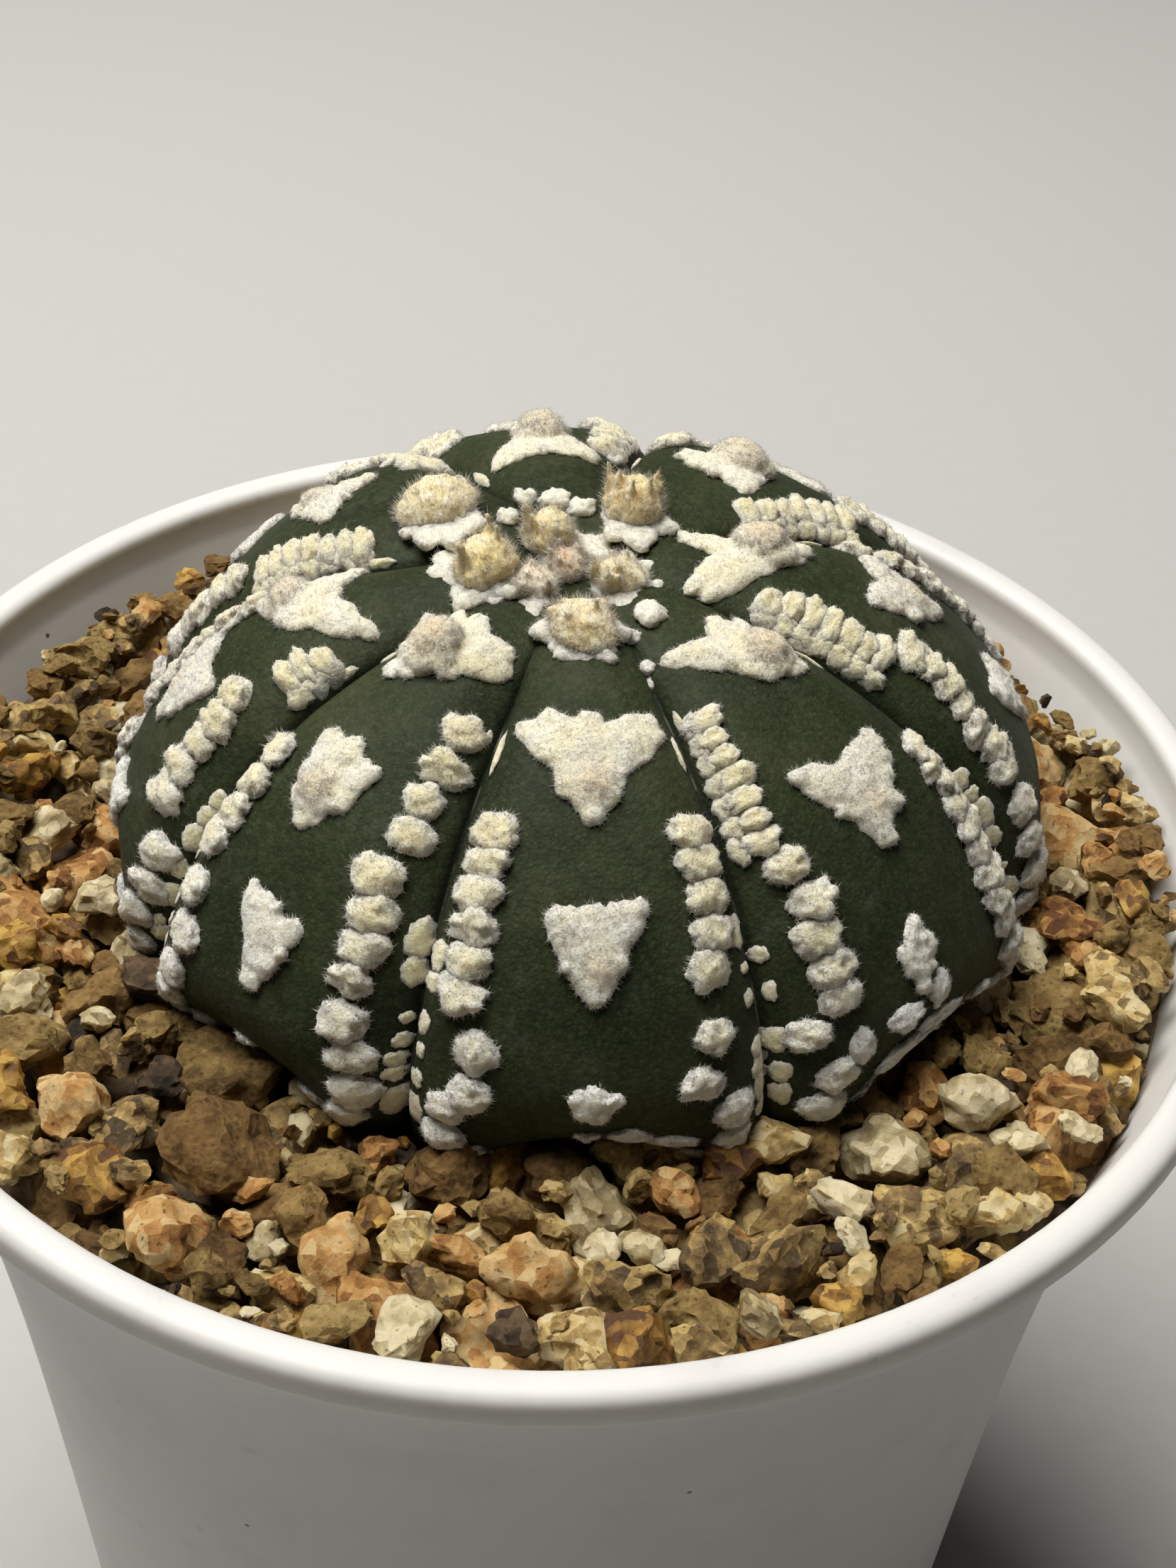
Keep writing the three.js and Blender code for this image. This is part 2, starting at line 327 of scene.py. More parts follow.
class Finish:
    """A material in the making. Its patterns lie on the piece's own coordinates, in metres."""

    def __init__(self, name):
        self.material = bpy.data.materials.new(name)
        self.material.use_nodes = True
        self.nodes, self.links = self.material.node_tree.nodes, self.material.node_tree.links
        self.shader = self.nodes["Principled BSDF"]
        self.places = self.node("ShaderNodeTexCoord").outputs["Object"]

    def node(self, kind, **settings):
        """A node with its sockets and options set by name."""
        made = self.nodes.new(kind)
        for key, value in settings.items():
            if key in made.inputs:
                self.feed(made.inputs[key], value)
            else:
                setattr(made, key, value)
        return made

    def feed(self, socket, value):
        """Sets a socket to a number or a colour, or links it to another socket."""
        if isinstance(value, bpy.types.NodeSocket):
            self.links.new(value, socket)
        elif isinstance(value, tuple):
            socket.default_value = (*value, 1)
        else:
            socket.default_value = value

    def noise(self, size, detail=3.0, rough=0.5, places=None):
        """Noise whose lumps are about size metres across."""
        made = self.node("ShaderNodeTexNoise", Vector=places or self.places, Scale=1 / size, Detail=detail,
                         Roughness=rough)
        return made.outputs["Fac"]

    def cells(self, size):
        return self.node("ShaderNodeTexVoronoi", Vector=self.places, Scale=1 / size)

    def ramp(self, value, stops):
        """A colour ramp with (position, colour) stops."""
        made = self.node("ShaderNodeValToRGB", Fac=value)
        ramp = made.color_ramp
        while len(ramp.elements) < len(stops):
            ramp.elements.new(0.5)
        for element, (position, colour) in zip(ramp.elements, stops):
            element.position = position
            element.color = (*colour, 1)
        return made.outputs["Color"]

    def mask(self, value, low, high):
        """0 where the value is at low and 1 where it is at high."""
        made = self.node("ShaderNodeMapRange", Value=value)
        self.feed(made.inputs["From Min"], low)
        self.feed(made.inputs["From Max"], high)
        return made.outputs["Result"]

    def math(self, operation, first, second):
        made = self.node("ShaderNodeMath", operation=operation)
        self.feed(made.inputs[0], first)
        self.feed(made.inputs[1], second)
        return made.outputs[0]

    def mix(self, share, first, second, blend="MIX"):
        made = self.node("ShaderNodeMix", data_type="RGBA", blend_type=blend)
        for number, value in ((0, share), (6, first), (7, second)):
            self.feed(made.inputs[number], value)
        return made.outputs[2]

    def tint(self, under, mask, strength, colour):
        """The colour laid over another where the mask is, at a strength."""
        return self.mix(self.math("MULTIPLY", mask, strength), under, colour)

    def bump(self, height, depth, under=None, strength=1.0):
        made = self.node("ShaderNodeBump", Height=height, Strength=strength, Distance=depth)
        if under:
            self.feed(made.inputs["Normal"], under)
        return made.outputs["Normal"]

    def value(self, name):
        """A value that the mesh holds for each point."""
        return self.node("ShaderNodeAttribute", attribute_name=name).outputs["Fac"]

    def done(self, colour, normal=None, **sockets):
        """Links the colour and the relief, and sets the shader's other sockets."""
        self.feed(self.shader.inputs["Base Color"], colour)
        if normal:
            self.feed(self.shader.inputs["Normal"], normal)
        for name, value in sockets.items():
            self.shader.inputs[name.replace("_", " ")].default_value = value
        return self.material


def pot_plastic():
    """White satin plastic with faint water marks, scuffs and a few specks of dirt."""
    look = Finish("pot_plastic")
    marks = look.mask(look.noise(7 * MM, 4, 0.6), 0.5, 0.75)
    white = look.mix(marks, (0.665, 0.66, 0.64), (0.61, 0.605, 0.59))
    scuffs = look.mask(look.noise(3.5 * MM, 5, 0.7), 0.66, 0.7)
    white = look.tint(white, scuffs, 0.5, (0.50, 0.495, 0.48))
    speck = look.mask(look.cells(7 * MM).outputs["Distance"], 0.032, 0.02)
    white = look.mix(speck, white, (0.12, 0.10, 0.085))
    ripple = look.bump(look.noise(2.5 * MM, 3), 0.02 * MM, strength=0.15)
    return look.done(white, ripple, Roughness=0.5, Subsurface_Weight=0.3, Subsurface_Radius=(1, 0.85, 0.65),
                     Subsurface_Scale=2.0 * MM)


def plant_skin():
    """Dark green velvety skin with fine grain and speckle, greyish patches, small scars and painted shade in the
    grooves.
    """
    look = Finish("plant_skin")
    green = look.ramp(look.noise(8 * MM, 4, 0.6), [
        (0.3, (0.012, 0.018, 0.006)), (0.5, (0.021, 0.028, 0.009)), (0.72, (0.037, 0.044, 0.018))])
    patch = look.mask(look.noise(2.6 * MM, 6, 0.7), 0.55, 0.75)
    green = look.tint(green, patch, 0.55, (0.065, 0.078, 0.05))
    scar = look.mask(look.noise(0.7 * MM, 5, 0.7), 0.66, 0.72)
    green = look.tint(green, scar, 0.4, (0.16, 0.17, 0.11))
    pores = look.cells(0.26 * MM).outputs["Distance"]
    green = look.tint(green, look.mask(pores, 0.33, 0.12), 0.24, (0.10, 0.12, 0.06))
    grain = look.noise(0.45 * MM, 5, 0.75)
    green = look.tint(green, look.mask(grain, 0.5, 0.7), 0.35, (0.075, 0.09, 0.045))
    green = look.tint(green, look.mask(grain, 0.5, 0.3), 0.6, (0.006, 0.010, 0.003))
    depth = look.value("crease")
    # Painted shade: the skin goes near black down in the groove creases.
    green = look.mix(depth, green, (0.006, 0.009, 0.004))
    broken = look.mask(look.noise(2.5 * MM, 3), 0.45, 0.6)
    thread = look.math("MULTIPLY", look.mask(depth, 0.8, 0.93), broken)
    green = look.tint(green, thread, 0.45, (0.33, 0.31, 0.2))
    relief = look.bump(grain, 0.12 * MM, look.bump(pores, 0.03 * MM), 0.6)
    relief = look.bump(look.noise(1.6 * MM, 4), 0.14 * MM, relief, 0.3)
    return look.done(green, relief, Roughness=0.6, Specular_IOR_Level=0.15, Sheen_Weight=0.02, Sheen_Roughness=0.5)


def wool(name, pale, warm, tan, glow):
    """Felted wool with fine soft strands: pale low on the plant, warmer near the crown, tan on the knobs, and
    painted shade in the hollows between its tufts and strands.
    """
    look = Finish(name)
    bend = look.node("ShaderNodeTexNoise", Vector=look.places, Scale=1 / (0.4 * MM), Detail=2)
    bent = look.node("ShaderNodeVectorMath", operation="MULTIPLY_ADD")
    look.feed(bent.inputs[0], bend.outputs["Color"])
    bent.inputs[1].default_value = (0.5 * MM,) * 3
    look.feed(bent.inputs[2], look.places)
    tufts = look.noise(0.36 * MM, 3, 0.6, bent.outputs[0])
    strands = look.noise(0.15 * MM, 4, 0.7, bent.outputs[0])
    colour = look.mix(look.value("warmth"), pale, warm)
    colour = look.mix(look.value("tan"), colour, tan)
    shade = tuple(0.8 * c for c in warm)
    # Painted shade: a darker warm tone in the low parts of the tuft and strand noises, the hollows of the bump.
    colour = look.tint(colour, look.mask(tufts, 0.46, 0.26), 0.3, shade)
    colour = look.tint(colour, look.mask(strands, 0.54, 0.3), 0.25, shade)
    relief = look.bump(strands, 0.13 * MM, look.bump(tufts, 0.3 * MM))
    return look.done(colour, relief, Roughness=0.95, Specular_IOR_Level=0.1, Sheen_Weight=0.45,
                     Subsurface_Weight=0.6, Subsurface_Radius=(1, 0.85, 0.6), Subsurface_Scale=glow)


# The pot

def wall_radius(below):
    return WALL_TOP_RADIUS - WALL_TAPER * below + FLARE * np.exp(-below / FLARE_DEPTH)


def pot_profile():
    """Radius and height pairs from the base's edge up the outside, over the lip and down the inside."""
    steps = [LIP_DEPTH + (POT_HEIGHT - LIP_DEPTH - 1.2 * MM) * (i / 26) ** 1.5 for i in range(27)]
    outside = [(wall_radius(d), POT_HEIGHT - d) for d in reversed(steps)]
    base = wall_radius(POT_HEIGHT)
    bead = []
    middle = RIM_RADIUS - LIP_WIDTH / 2
    for i in range(13):
        turn = math.pi * i / 12
        reach = math.copysign(abs(math.cos(turn)) ** BEAD_SQUARE, math.cos(turn))
        rise = BEAD_HEIGHT * math.sin(turn) ** BEAD_SQUARE
        bead.append((middle + LIP_WIDTH / 2 * reach, POT_HEIGHT - BEAD_HEIGHT + rise))
    under = [(wall_radius(LIP_DEPTH) + 0.35 * MM, POT_HEIGHT - LIP_DEPTH),
             (RIM_RADIUS - 0.16 * MM, POT_HEIGHT - LIP_DEPTH + 0.12 * MM),
             (RIM_RADIUS, POT_HEIGHT - LIP_DEPTH + 0.5 * MM)]
    inside = [(wall_radius(d) - WALL, POT_HEIGHT - d) for d in steps if d < POT_HEIGHT - FLOOR_THICKNESS - 1.5 * MM]
    floor_edge = wall_radius(POT_HEIGHT - FLOOR_THICKNESS) - WALL
    foot = [(base - 1.0 * MM, 0), (base - 0.4 * MM, 0.15 * MM), (base - 0.05 * MM, 0.6 * MM)]
    return foot + outside + under + bead + inside + [(floor_edge, FLOOR_THICKNESS + 0.8 * MM),
                                                      (floor_edge - 0.8 * MM, FLOOR_THICKNESS)]


def make_pot():
    """The turned moulding, drilled."""
    pot = turned("flower_pot", 128, pot_profile())
    for i in range(DRAIN_HOLES):
        place = polar(DRAIN_CIRCLE, math.tau * i / DRAIN_HOLES, FLOOR_THICKNESS / 2)
        bpy.ops.mesh.primitive_cylinder_add(vertices=32, radius=DRAIN_RADIUS, depth=3 * FLOOR_THICKNESS,
                                            location=place)
        drill = bpy.context.object
        cut = pot.modifiers.new("hole", "BOOLEAN")
        cut.operation = "DIFFERENCE"
        cut.object = drill
        apply_modifiers(pot)
        bpy.data.objects.remove(drill)
    make_active(pot)
    bpy.ops.object.shade_smooth_by_angle(angle=math.radians(40))
    dress(pot, pot_plastic())
    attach(pot, "root")
    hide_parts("pot")


# The plant's form, in millimetres in its own frame

def dome(angle):
    """Radius and height of the dome at angles in degrees down from the crown."""
    a = np.radians(np.clip(angle, 0, 180))
    s, c = np.sin(a), np.cos(a)
    height = np.where(c > 0, DOME_HEIGHT * np.abs(c) ** DOME_FLAT, -BASE_DEPTH * np.abs(c))
    return PLANT_RADIUS * np.abs(s) ** DOME_ROUND, height


def dome_normal(angle):
    r1, z1 = dome(angle - 0.2)
    r2, z2 = dome(angle + 0.2)
    along, down = r2 - r1, z2 - z1
    size = np.hypot(along, down) + 1e-12
    return -down / size, along / size


def groove_distance(rib, across, angle):
    return np.minimum(across, 1 - across) * np.radians(RIB_SPANS[rib]) * dome(angle)[0]


def skin_lift(rib, across, angle):
    """How far the skin stands off the dome."""
    edge = groove_distance(rib, across, angle)
    deep = smoothstep(angle, 2, 18) * (1 - smoothstep(angle, 100, 130))
    shoulder = SHOULDER_DEPTH * np.exp(-((edge / SHOULDER_WIDTH) ** 2))
    crease = deep * (shoulder + CREASE_DEPTH * np.exp(-edge / CREASE_WIDTH))
    arch = 1 - np.abs(2 * across - 1) ** 2.4
    swell = CREST_SWELL * np.exp(-(((angle - BELLY_ANGLE) / BELLY_SPREAD) ** 2))
    middle = np.exp(-(((across - 0.5) / MIDDLE_SHARE) ** 2))
    under = np.clip((angle - TUCK_ANGLE) / TUCK_SPREAD, 0, 1) ** 1.5
    return swell * arch - crease - BASE_TUCK * under * middle


def skin(rib, across, angle, lift=0.0):
    """Points of the skin in the plant's frame. The share across a rib may run over its edges."""
    rib = np.asarray(rib)
    turns = np.floor(across).astype(int)
    share = across - turns
    rib = (rib + turns) % RIBS
    turn = np.radians(GROOVES[rib] + RIB_SPANS[rib] * share)
    radius, height = dome(angle)
    out, up = dome_normal(angle)
    off = skin_lift(rib, share, angle) + lift
    radius = radius + out * off
    from_flank = np.mod(np.degrees(turn) - FLANK_TURN + 180, 360) - 180
    radius = radius * (1 - FLANK_SHARE * np.exp(-((from_flank / FLANK_WIDTH) ** 2)) * smoothstep(angle, 15, 60))
    dip = CROWN_DIP * np.exp(-((radius / CROWN_DIP_RADIUS) ** 2)) * (angle < 90)
    height = height + up * off - dip
    return np.stack([radius * np.cos(turn), radius * np.sin(turn), height], -1)


ARC_ANGLES = np.linspace(0, 180, 721)
ARC_LENGTHS = np.concatenate([[0], np.cumsum(np.hypot(*(np.diff(v) for v in dome(ARC_ANGLES))))])


def laid_on_skin(local, rib, across, angle):
    """Flat shapes laid on the skin: local x runs round the plant, y towards the crown, z outwards, in mm."""
    here = np.interp(angle, ARC_ANGLES, ARC_LENGTHS)
    down = np.interp(here - local[:, 1], ARC_LENGTHS, ARC_ANGLES)
    arc = np.radians(RIB_SPANS[rib]) * np.maximum(dome(down)[0], 1.5)
    return skin(rib, across + local[:, 0] / arc, down, local[:, 2])


def in_scene(points):
    """From the plant's frame in mm to the scene in metres."""
    turn = np.array(Matrix.Rotation(PLANT_LEAN, 3, "X"))
    return points @ turn.T * MM + np.array(PLANT_PLACE)


def make_skin():
    """A round primitive whose points move to the ribbed form, closer together beside the grooves."""
    select_none()
    columns = 24 * RIBS
    bpy.ops.mesh.primitive_uv_sphere_add(segments=columns, ring_count=120, radius=1)
    body = named(bpy.context.object, "cactus_skin")
    points = places_of(body)
    angle = np.degrees(np.arccos(np.clip(points[:, 2] / np.linalg.norm(points, axis=1), -1, 1)))
    round_share = np.mod(np.degrees(np.arctan2(points[:, 1], points[:, 0])) / 360, 1) * RIBS
    rib = np.floor(round_share + 1e-6).astype(int) % RIBS
    within = np.clip(round_share - np.floor(round_share + 1e-6), 0, 1)
    across = within - 0.75 * np.sin(math.tau * within) / (math.tau)
    shaped = skin(rib, across, angle)
    out = shaped / np.linalg.norm(shaped, axis=1)[:, None]
    shaped = shaped + out * (0.16 * lumps(shaped, 4.0, 3) + 0.05 * lumps(shaped, 1.3, 4))[:, None]
    set_places(body, in_scene(shaped))
    # How near each point lies to a groove's crease, where the skin's material paints shade.
    edge = groove_distance(rib, across, angle)
    crease = np.exp(-edge / CREASE_WIDTH) * smoothstep(angle, 5, 20)
    layer = body.data.attributes.new("crease", "FLOAT", "POINT")
    layer.data.foreach_set("value", crease)
    make_active(body)
    bpy.ops.object.shade_smooth()
    dress(body, plant_skin())
    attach(body, "root")
    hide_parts("cactus_body")


# Wool: hairs, pads and areoles, modelled flat in millimetres and then laid on the skin

def hairs(roots, directions, lengths, width):
    """Fine needle hairs, each a closed three-sided spike."""
    count = len(roots)
    directions = directions / np.linalg.norm(directions, axis=1)[:, None]
    side = np.cross(directions, draws.normal(size=(count, 3)))
    side /= np.linalg.norm(side, axis=1)[:, None] + 1e-12
    other = np.cross(directions, side)
    ring = [roots + width * (math.cos(a) * side + math.sin(a) * other) for a in (0, THIRD_TURN, 2 * THIRD_TURN)]
    points = np.stack([*ring, roots + lengths[:, None] * directions], 1).reshape(-1, 3)
    one = np.array([[0, 2, 1], [0, 1, 3], [1, 2, 3], [2, 0, 3]])
    return points, (one[None] + 4 * np.arange(count)[:, None, None]).reshape(-1, 3)


def hair_roots(shape, count, lowest, edge_share):
    """Random places on a shape above a height, more of them where it faces sideways, and the ways it faces."""
    points, triangles = shape
    a, b, c = (points[triangles[:, k]] for k in range(3))
    normals = np.cross(b - a, c - a)
    area = np.linalg.norm(normals, axis=1)
    normals /= area[:, None] + 1e-12
    weight = area * ((a + b + c)[:, 2] / 3 > lowest) * (normals[:, 2] > -0.5)
    weight = weight * (1 + edge_share * (1 - np.abs(normals[:, 2])))
    pick = draws.choice(len(triangles), count, p=weight / weight.sum())
    u, v = draws.random((2, count))
    flip = u + v > 1
    u[flip], v[flip] = 1 - u[flip], 1 - v[flip]
    return a[pick] + u[:, None] * (b - a)[pick] + v[:, None] * (c - a)[pick], normals[pick]


def with_fuzz(shape, count, length, width=0.013, lowest=0.0, edge_share=6, spread=0.45):
    """A shape with fine hairs standing off it. The third array is 1 on hairs and 0 on the body."""
    points, triangles = shape
    roots, out = hair_roots(shape, count, lowest, edge_share)
    lean = out + spread * draws.normal(size=out.shape)
    side = 1 - np.abs(out[:, 2])
    lengths = length * draws.uniform(0.45, 1.0, count) * (0.7 + 0.6 * side)
    hair_points, hair_triangles = hairs(roots - 0.08 * out, lean, lengths, width)
    is_hair = np.concatenate([np.zeros(len(points)), np.ones(len(hair_points))])
    triangles = np.concatenate([triangles, hair_triangles + len(points)])
    return np.concatenate([points, hair_points]), triangles, is_hair


def fleck_master(seed, lobes, faces=400):
    """A small pad of felted wool: a cushion with a few lobes run into it, cut flat, roughened and frayed."""
    parts = [lump((0, 0, 0.08), (0.86, 0.84, 0.56))]
    first = draws.uniform(0, math.tau)
    for i in range(lobes):
        turn = first + math.tau * i / lobes + draws.uniform(-0.4, 0.4)
        half = draws.uniform(0.36, 0.5)
        parts.append(lump((0.45 * math.cos(turn), 0.42 * math.sin(turn), draws.uniform(0.15, 0.34)),
                          (half, 0.9 * half, draws.uniform(0.36, 0.46)), turn))
    return frayed(felted(parts, 0.1, -0.2, [(0.62, 0.2), (0.27, 0.14)], seed, faces), 0.1)


def reach_lump(start, tip, half_width, height):
    """A stretched lump that reaches from a start to a tip."""
    dx, dy = tip[0] - start[0], tip[1] - start[1]
    length = math.hypot(dx, dy)
    middle = (start[0] + 0.5 * dx, start[1] + 0.5 * dy, 0.05)
    return lump(middle, (0.5 * length + 0.35, half_width, height), math.atan2(dy, dx))


def areole_master(lobes, knob, seed, faces):
    """A V of felted wool: broad blunt lobes from the middle to each tip, uneven edges and a raised knob."""
    spread = max(math.hypot(*tip) for tip in lobes)
    full = min(1.0, spread / 4.2)
    parts = [lump((0, 0.1, 0.05), (2.45 * full, 2.05 * full, 0.56))]
    for tip in lobes:
        length = math.hypot(*tip)
        wide = (1.5 if length > 2.4 else 1.1) * (0.55 + 0.45 * full)
        parts.append(reach_lump((0, 0), (0.82 * tip[0], 0.82 * tip[1]), wide, 0.52))
        bump = draws.uniform(0.7, 0.95) * (0.5 + 0.5 * full)
        place = (0.84 * tip[0] + draws.uniform(-0.15, 0.15), 0.84 * tip[1] + draws.uniform(-0.15, 0.15),
                 draws.uniform(0.0, 0.15))
        parts.append(lump(place, (bump, 0.9 * bump, 0.46), draws.uniform(0, 3)))
    for _ in range(7):
        turn = draws.uniform(0, math.tau)
        reach = draws.uniform(1.4, 2.5) * full
        bump = draws.uniform(0.35, 0.6)
        parts.append(lump(polar(reach, turn, draws.uniform(0.1, 0.32)), (bump, 0.75 * bump, 0.42), turn))
    x, y, radius, height = knob
    if radius:
        parts.append(lump((x, y, 0.3 * height), (radius, 0.95 * radius, 0.7 * height), detail=4))
        parts.append(lump((x, y - 0.4 * radius, 0.2 * height), (1.25 * radius, 0.9 * radius, 0.45 * height)))
    return frayed(felted(parts, 0.17, -0.25, [(1.1, 0.14), (0.42, 0.13)], seed, faces), 0.16)


def knob_share(points, knob):
    """1 on the knob of an areole and 0 away from it."""
    x, y, radius, _ = knob
    if not radius:
        return np.zeros(len(points))
    return smoothstep(-np.hypot(points[:, 0] - x, points[:, 1] - y), -1.35 * radius, -0.25 * radius)


def warmth_at(angle):
    """Wool is yellower near the crown and whiter low down."""
    return float(np.interp(angle, [10, 45, 75], [0.75, 0.45, 0.05]))


NO_KNOB = (0, 0, 0, 0)
# The areoles that show: rib, angle from the crown, shift across in mm, the tips of the lobes in mm
# with the crown upwards, and the knob's place, radius and height
AREOLES = [
    (2, 26, 0.0, [(-4.5, 2.7), (-2.7, 3.4), (0, 3.1), (4.4, 3.3), (4.7, 2.1), (1.6, -1.6), (0.2, -3.6),
                  (-1.6, -1.8)], (0.2, -1.2, 1.3, 1.0)),
    (2, 50, 0.0, [(-2.6, 1.8), (0, 1.8), (3.1, 2.2), (1.0, -1.4), (0.3, -3.5), (-0.9, -1.6)],
     (0.4, -1.4, 0.9, 0.7)),
    (3, 17, 1.5, [(-4.3, 2.3), (0.4, 3.3), (2.7, 1.5), (3.2, -0.9), (2.0, -3.6), (-0.8, -2.3)],
     (0.8, -0.8, 1.6, 1.5)),
    (3, 40, 0.8, [(-3.6, 2.9), (1.0, 2.2), (3.4, 2.3), (3.4, 0.8), (1.8, -1.9), (-0.6, -3.3), (-1.4, -0.6)],
     (0.2, -1.0, 0.9, 0.7)),
    (3, 65, -1.2, [(0.6, 2.0), (-0.3, -2.0), (-1.0, 0.4), (1.1, 0.2)], NO_KNOB),
    (4, 14, 1.2, [(2.6, 4.2), (-4.4, 3.0), (-3.6, 4.4), (1.2, -4.3), (3.0, -1.0)], (0.9, -0.6, 1.8, 2.0)),
    (4, 36, 2.0, [(3.0, 2.1), (-2.4, 3.2), (0.3, -3.1), (1.6, -1.2)], (0.3, -0.9, 1.1, 0.8)),
    (5, 25, 0.0, [(4.0, 1.0), (-2.6, 2.3), (-0.4, -3.3), (2.2, 2.0)], (0.5, -1.2, 1.9, 2.0)),
    (6, 22, 0.0, [(4.0, 2.6), (-3.0, 2.7), (0.2, -3.0)], (0, -0.9, 1.6, 2.0)),
    (7, 33, 0.0, [(3.0, 2.4), (-3.2, 2.0), (0.4, -3.2), (1.8, -0.5)], (0, -1.0, 1.2, 1.0)),
    (0, 27, -1.4, [(-3.0, 4.1), (-1.4, 3.4), (4.6, 3.8), (2.6, 1.4), (-2.8, -3.4), (0.2, -1.6)],
     (-1.6, -0.9, 1.5, 1.4)),
    (0, 50, -2.2, [(-2.6, 4.0), (2.6, 2.3), (0.1, -3.0), (-1.4, -1.4)], (-0.5, -0.6, 1.0, 0.7)),
    (1, 15, -0.4, [(-4.2, 0.8), (-2.5, 2.5), (-0.7, 3.4), (3.0, 2.0), (3.6, 0.4), (1.2, -1.8), (-2.8, -3.8)],
     (-1.2, -0.4, 1.8, 2.1)),
    (1, 37, -1.2, [(-2.2, 2.2), (0, 2.6), (2.5, 1.4), (2.0, -1.2), (0, -3.6), (-1.8, -0.9)],
     (-0.3, -1.0, 1.3, 1.1)),
    (1, 61, 0.0, [(-2.3, 2.0), (1.8, 1.1), (0.4, -3.0)], NO_KNOB),
]
LOW_AREOLE = (2, 75, 0.2, [(1.3, 0.5), (-1.2, 0.6), (0.1, 1.0), (0, -0.9)], NO_KNOB)
SMALL_AREOLE = [(-1.9, 1.7), (2.0, 1.8), (0, -2.2)]


# Where the unseen part of a rib's row begins: rib and angle
HIDDEN_ROWS = ((4, 60), (5, 49), (6, 45), (7, 57), (0, 74))
# Fine hairs on an areole: on any, for each square millimetre of its extent, and at most for that extent
LEAST_HAIRS = 110
HAIRS_PER_AREA = 22
MOST_HAIRS = 1350


def hidden_areoles():
    """The rows on the far ribs go on by the spacing of the near ones."""
    rows = [LOW_AREOLE]
    for rib, first in HIDDEN_ROWS:
        angle = first
        while angle < 84:
            size = float(np.interp(angle, [30, 60, 85], [1.35, 1.1, 0.6]))
            lobes = [(x * size * draws.uniform(0.85, 1.15), y * size * draws.uniform(0.85, 1.15))
                     for x, y in SMALL_AREOLE]
            knob = (0, -0.5, 0.9 * size, 0.8) if angle < 50 else NO_KNOB
            rows.append((rib, angle, draws.uniform(-0.4, 0.4), lobes, knob))
            angle += AREOLE_STEP + AREOLE_STEP_GROWTH * angle
    for rib in range(RIBS):
        lobes = [(0.9 * draws.uniform(0.8, 1.2), 0.5), (-0.9, 0.6), (0.1, -1.0)]
        rows.append((rib, 87 + draws.uniform(-2, 3), draws.uniform(-0.6, 0.6), lobes, NO_KNOB))
    return rows


def make_areoles():
    heaps = [Heap(), Heap()]
    for number, (rib, angle, shift, lobes, knob) in enumerate(AREOLES + hidden_areoles()):
        small = angle > 80
        shape = areole_master(lobes, knob, 3 * number, 260 if small else 1100)
        if small:
            shape = (shape[0] * [0.6, 0.6, 0.8], shape[1])
        extent = np.ptp(shape[0][:, 0]) * np.ptp(shape[0][:, 1])
        count = int(min(HAIRS_PER_AREA * extent, MOST_HAIRS)) + LEAST_HAIRS
        points, triangles, is_hair = with_fuzz(shape, count, 0.46, 0.022)
        if knob[2]:
            crown = with_fuzz(shape, 260, 0.55, 0.02, 0.55 * knob[3], 0.0, 0.6)
            body = len(shape[0])
            triangles = np.concatenate([triangles, crown[1][len(shape[1]):] + len(points) - body])
            points = np.concatenate([points, crown[0][body:]])
            is_hair = np.concatenate([is_hair, crown[2][body:]])
        knob_tan = knob_share(points, knob)
        arc = math.radians(RIB_SPANS[rib]) * max(float(dome(angle)[0]), 1.5)
        placed = laid_on_skin(points, rib, 0.5 + shift / arc, angle)
        pale = np.where(is_hair > 0.5, 0.5, 1.0) * (1 - 0.4 * knob_tan)
        blotch = 0.8 + 0.7 * lumps(points, 1.6, number)
        heaps[rib % 2].add(in_scene(placed), triangles, warmth=np.clip(warmth_at(angle) * blotch * pale, 0, 1),
                           tan=np.clip(knob_tan * np.interp(angle, [15, 45, 60], [0.85, 0.65, 0.3]), 0, 1))
    pieces = [heap.piece(name) for heap, name in zip(heaps, ("areoles_even_ribs", "areoles_odd_ribs"))]
    for piece in pieces:
        finish_wool(piece, WOOL)


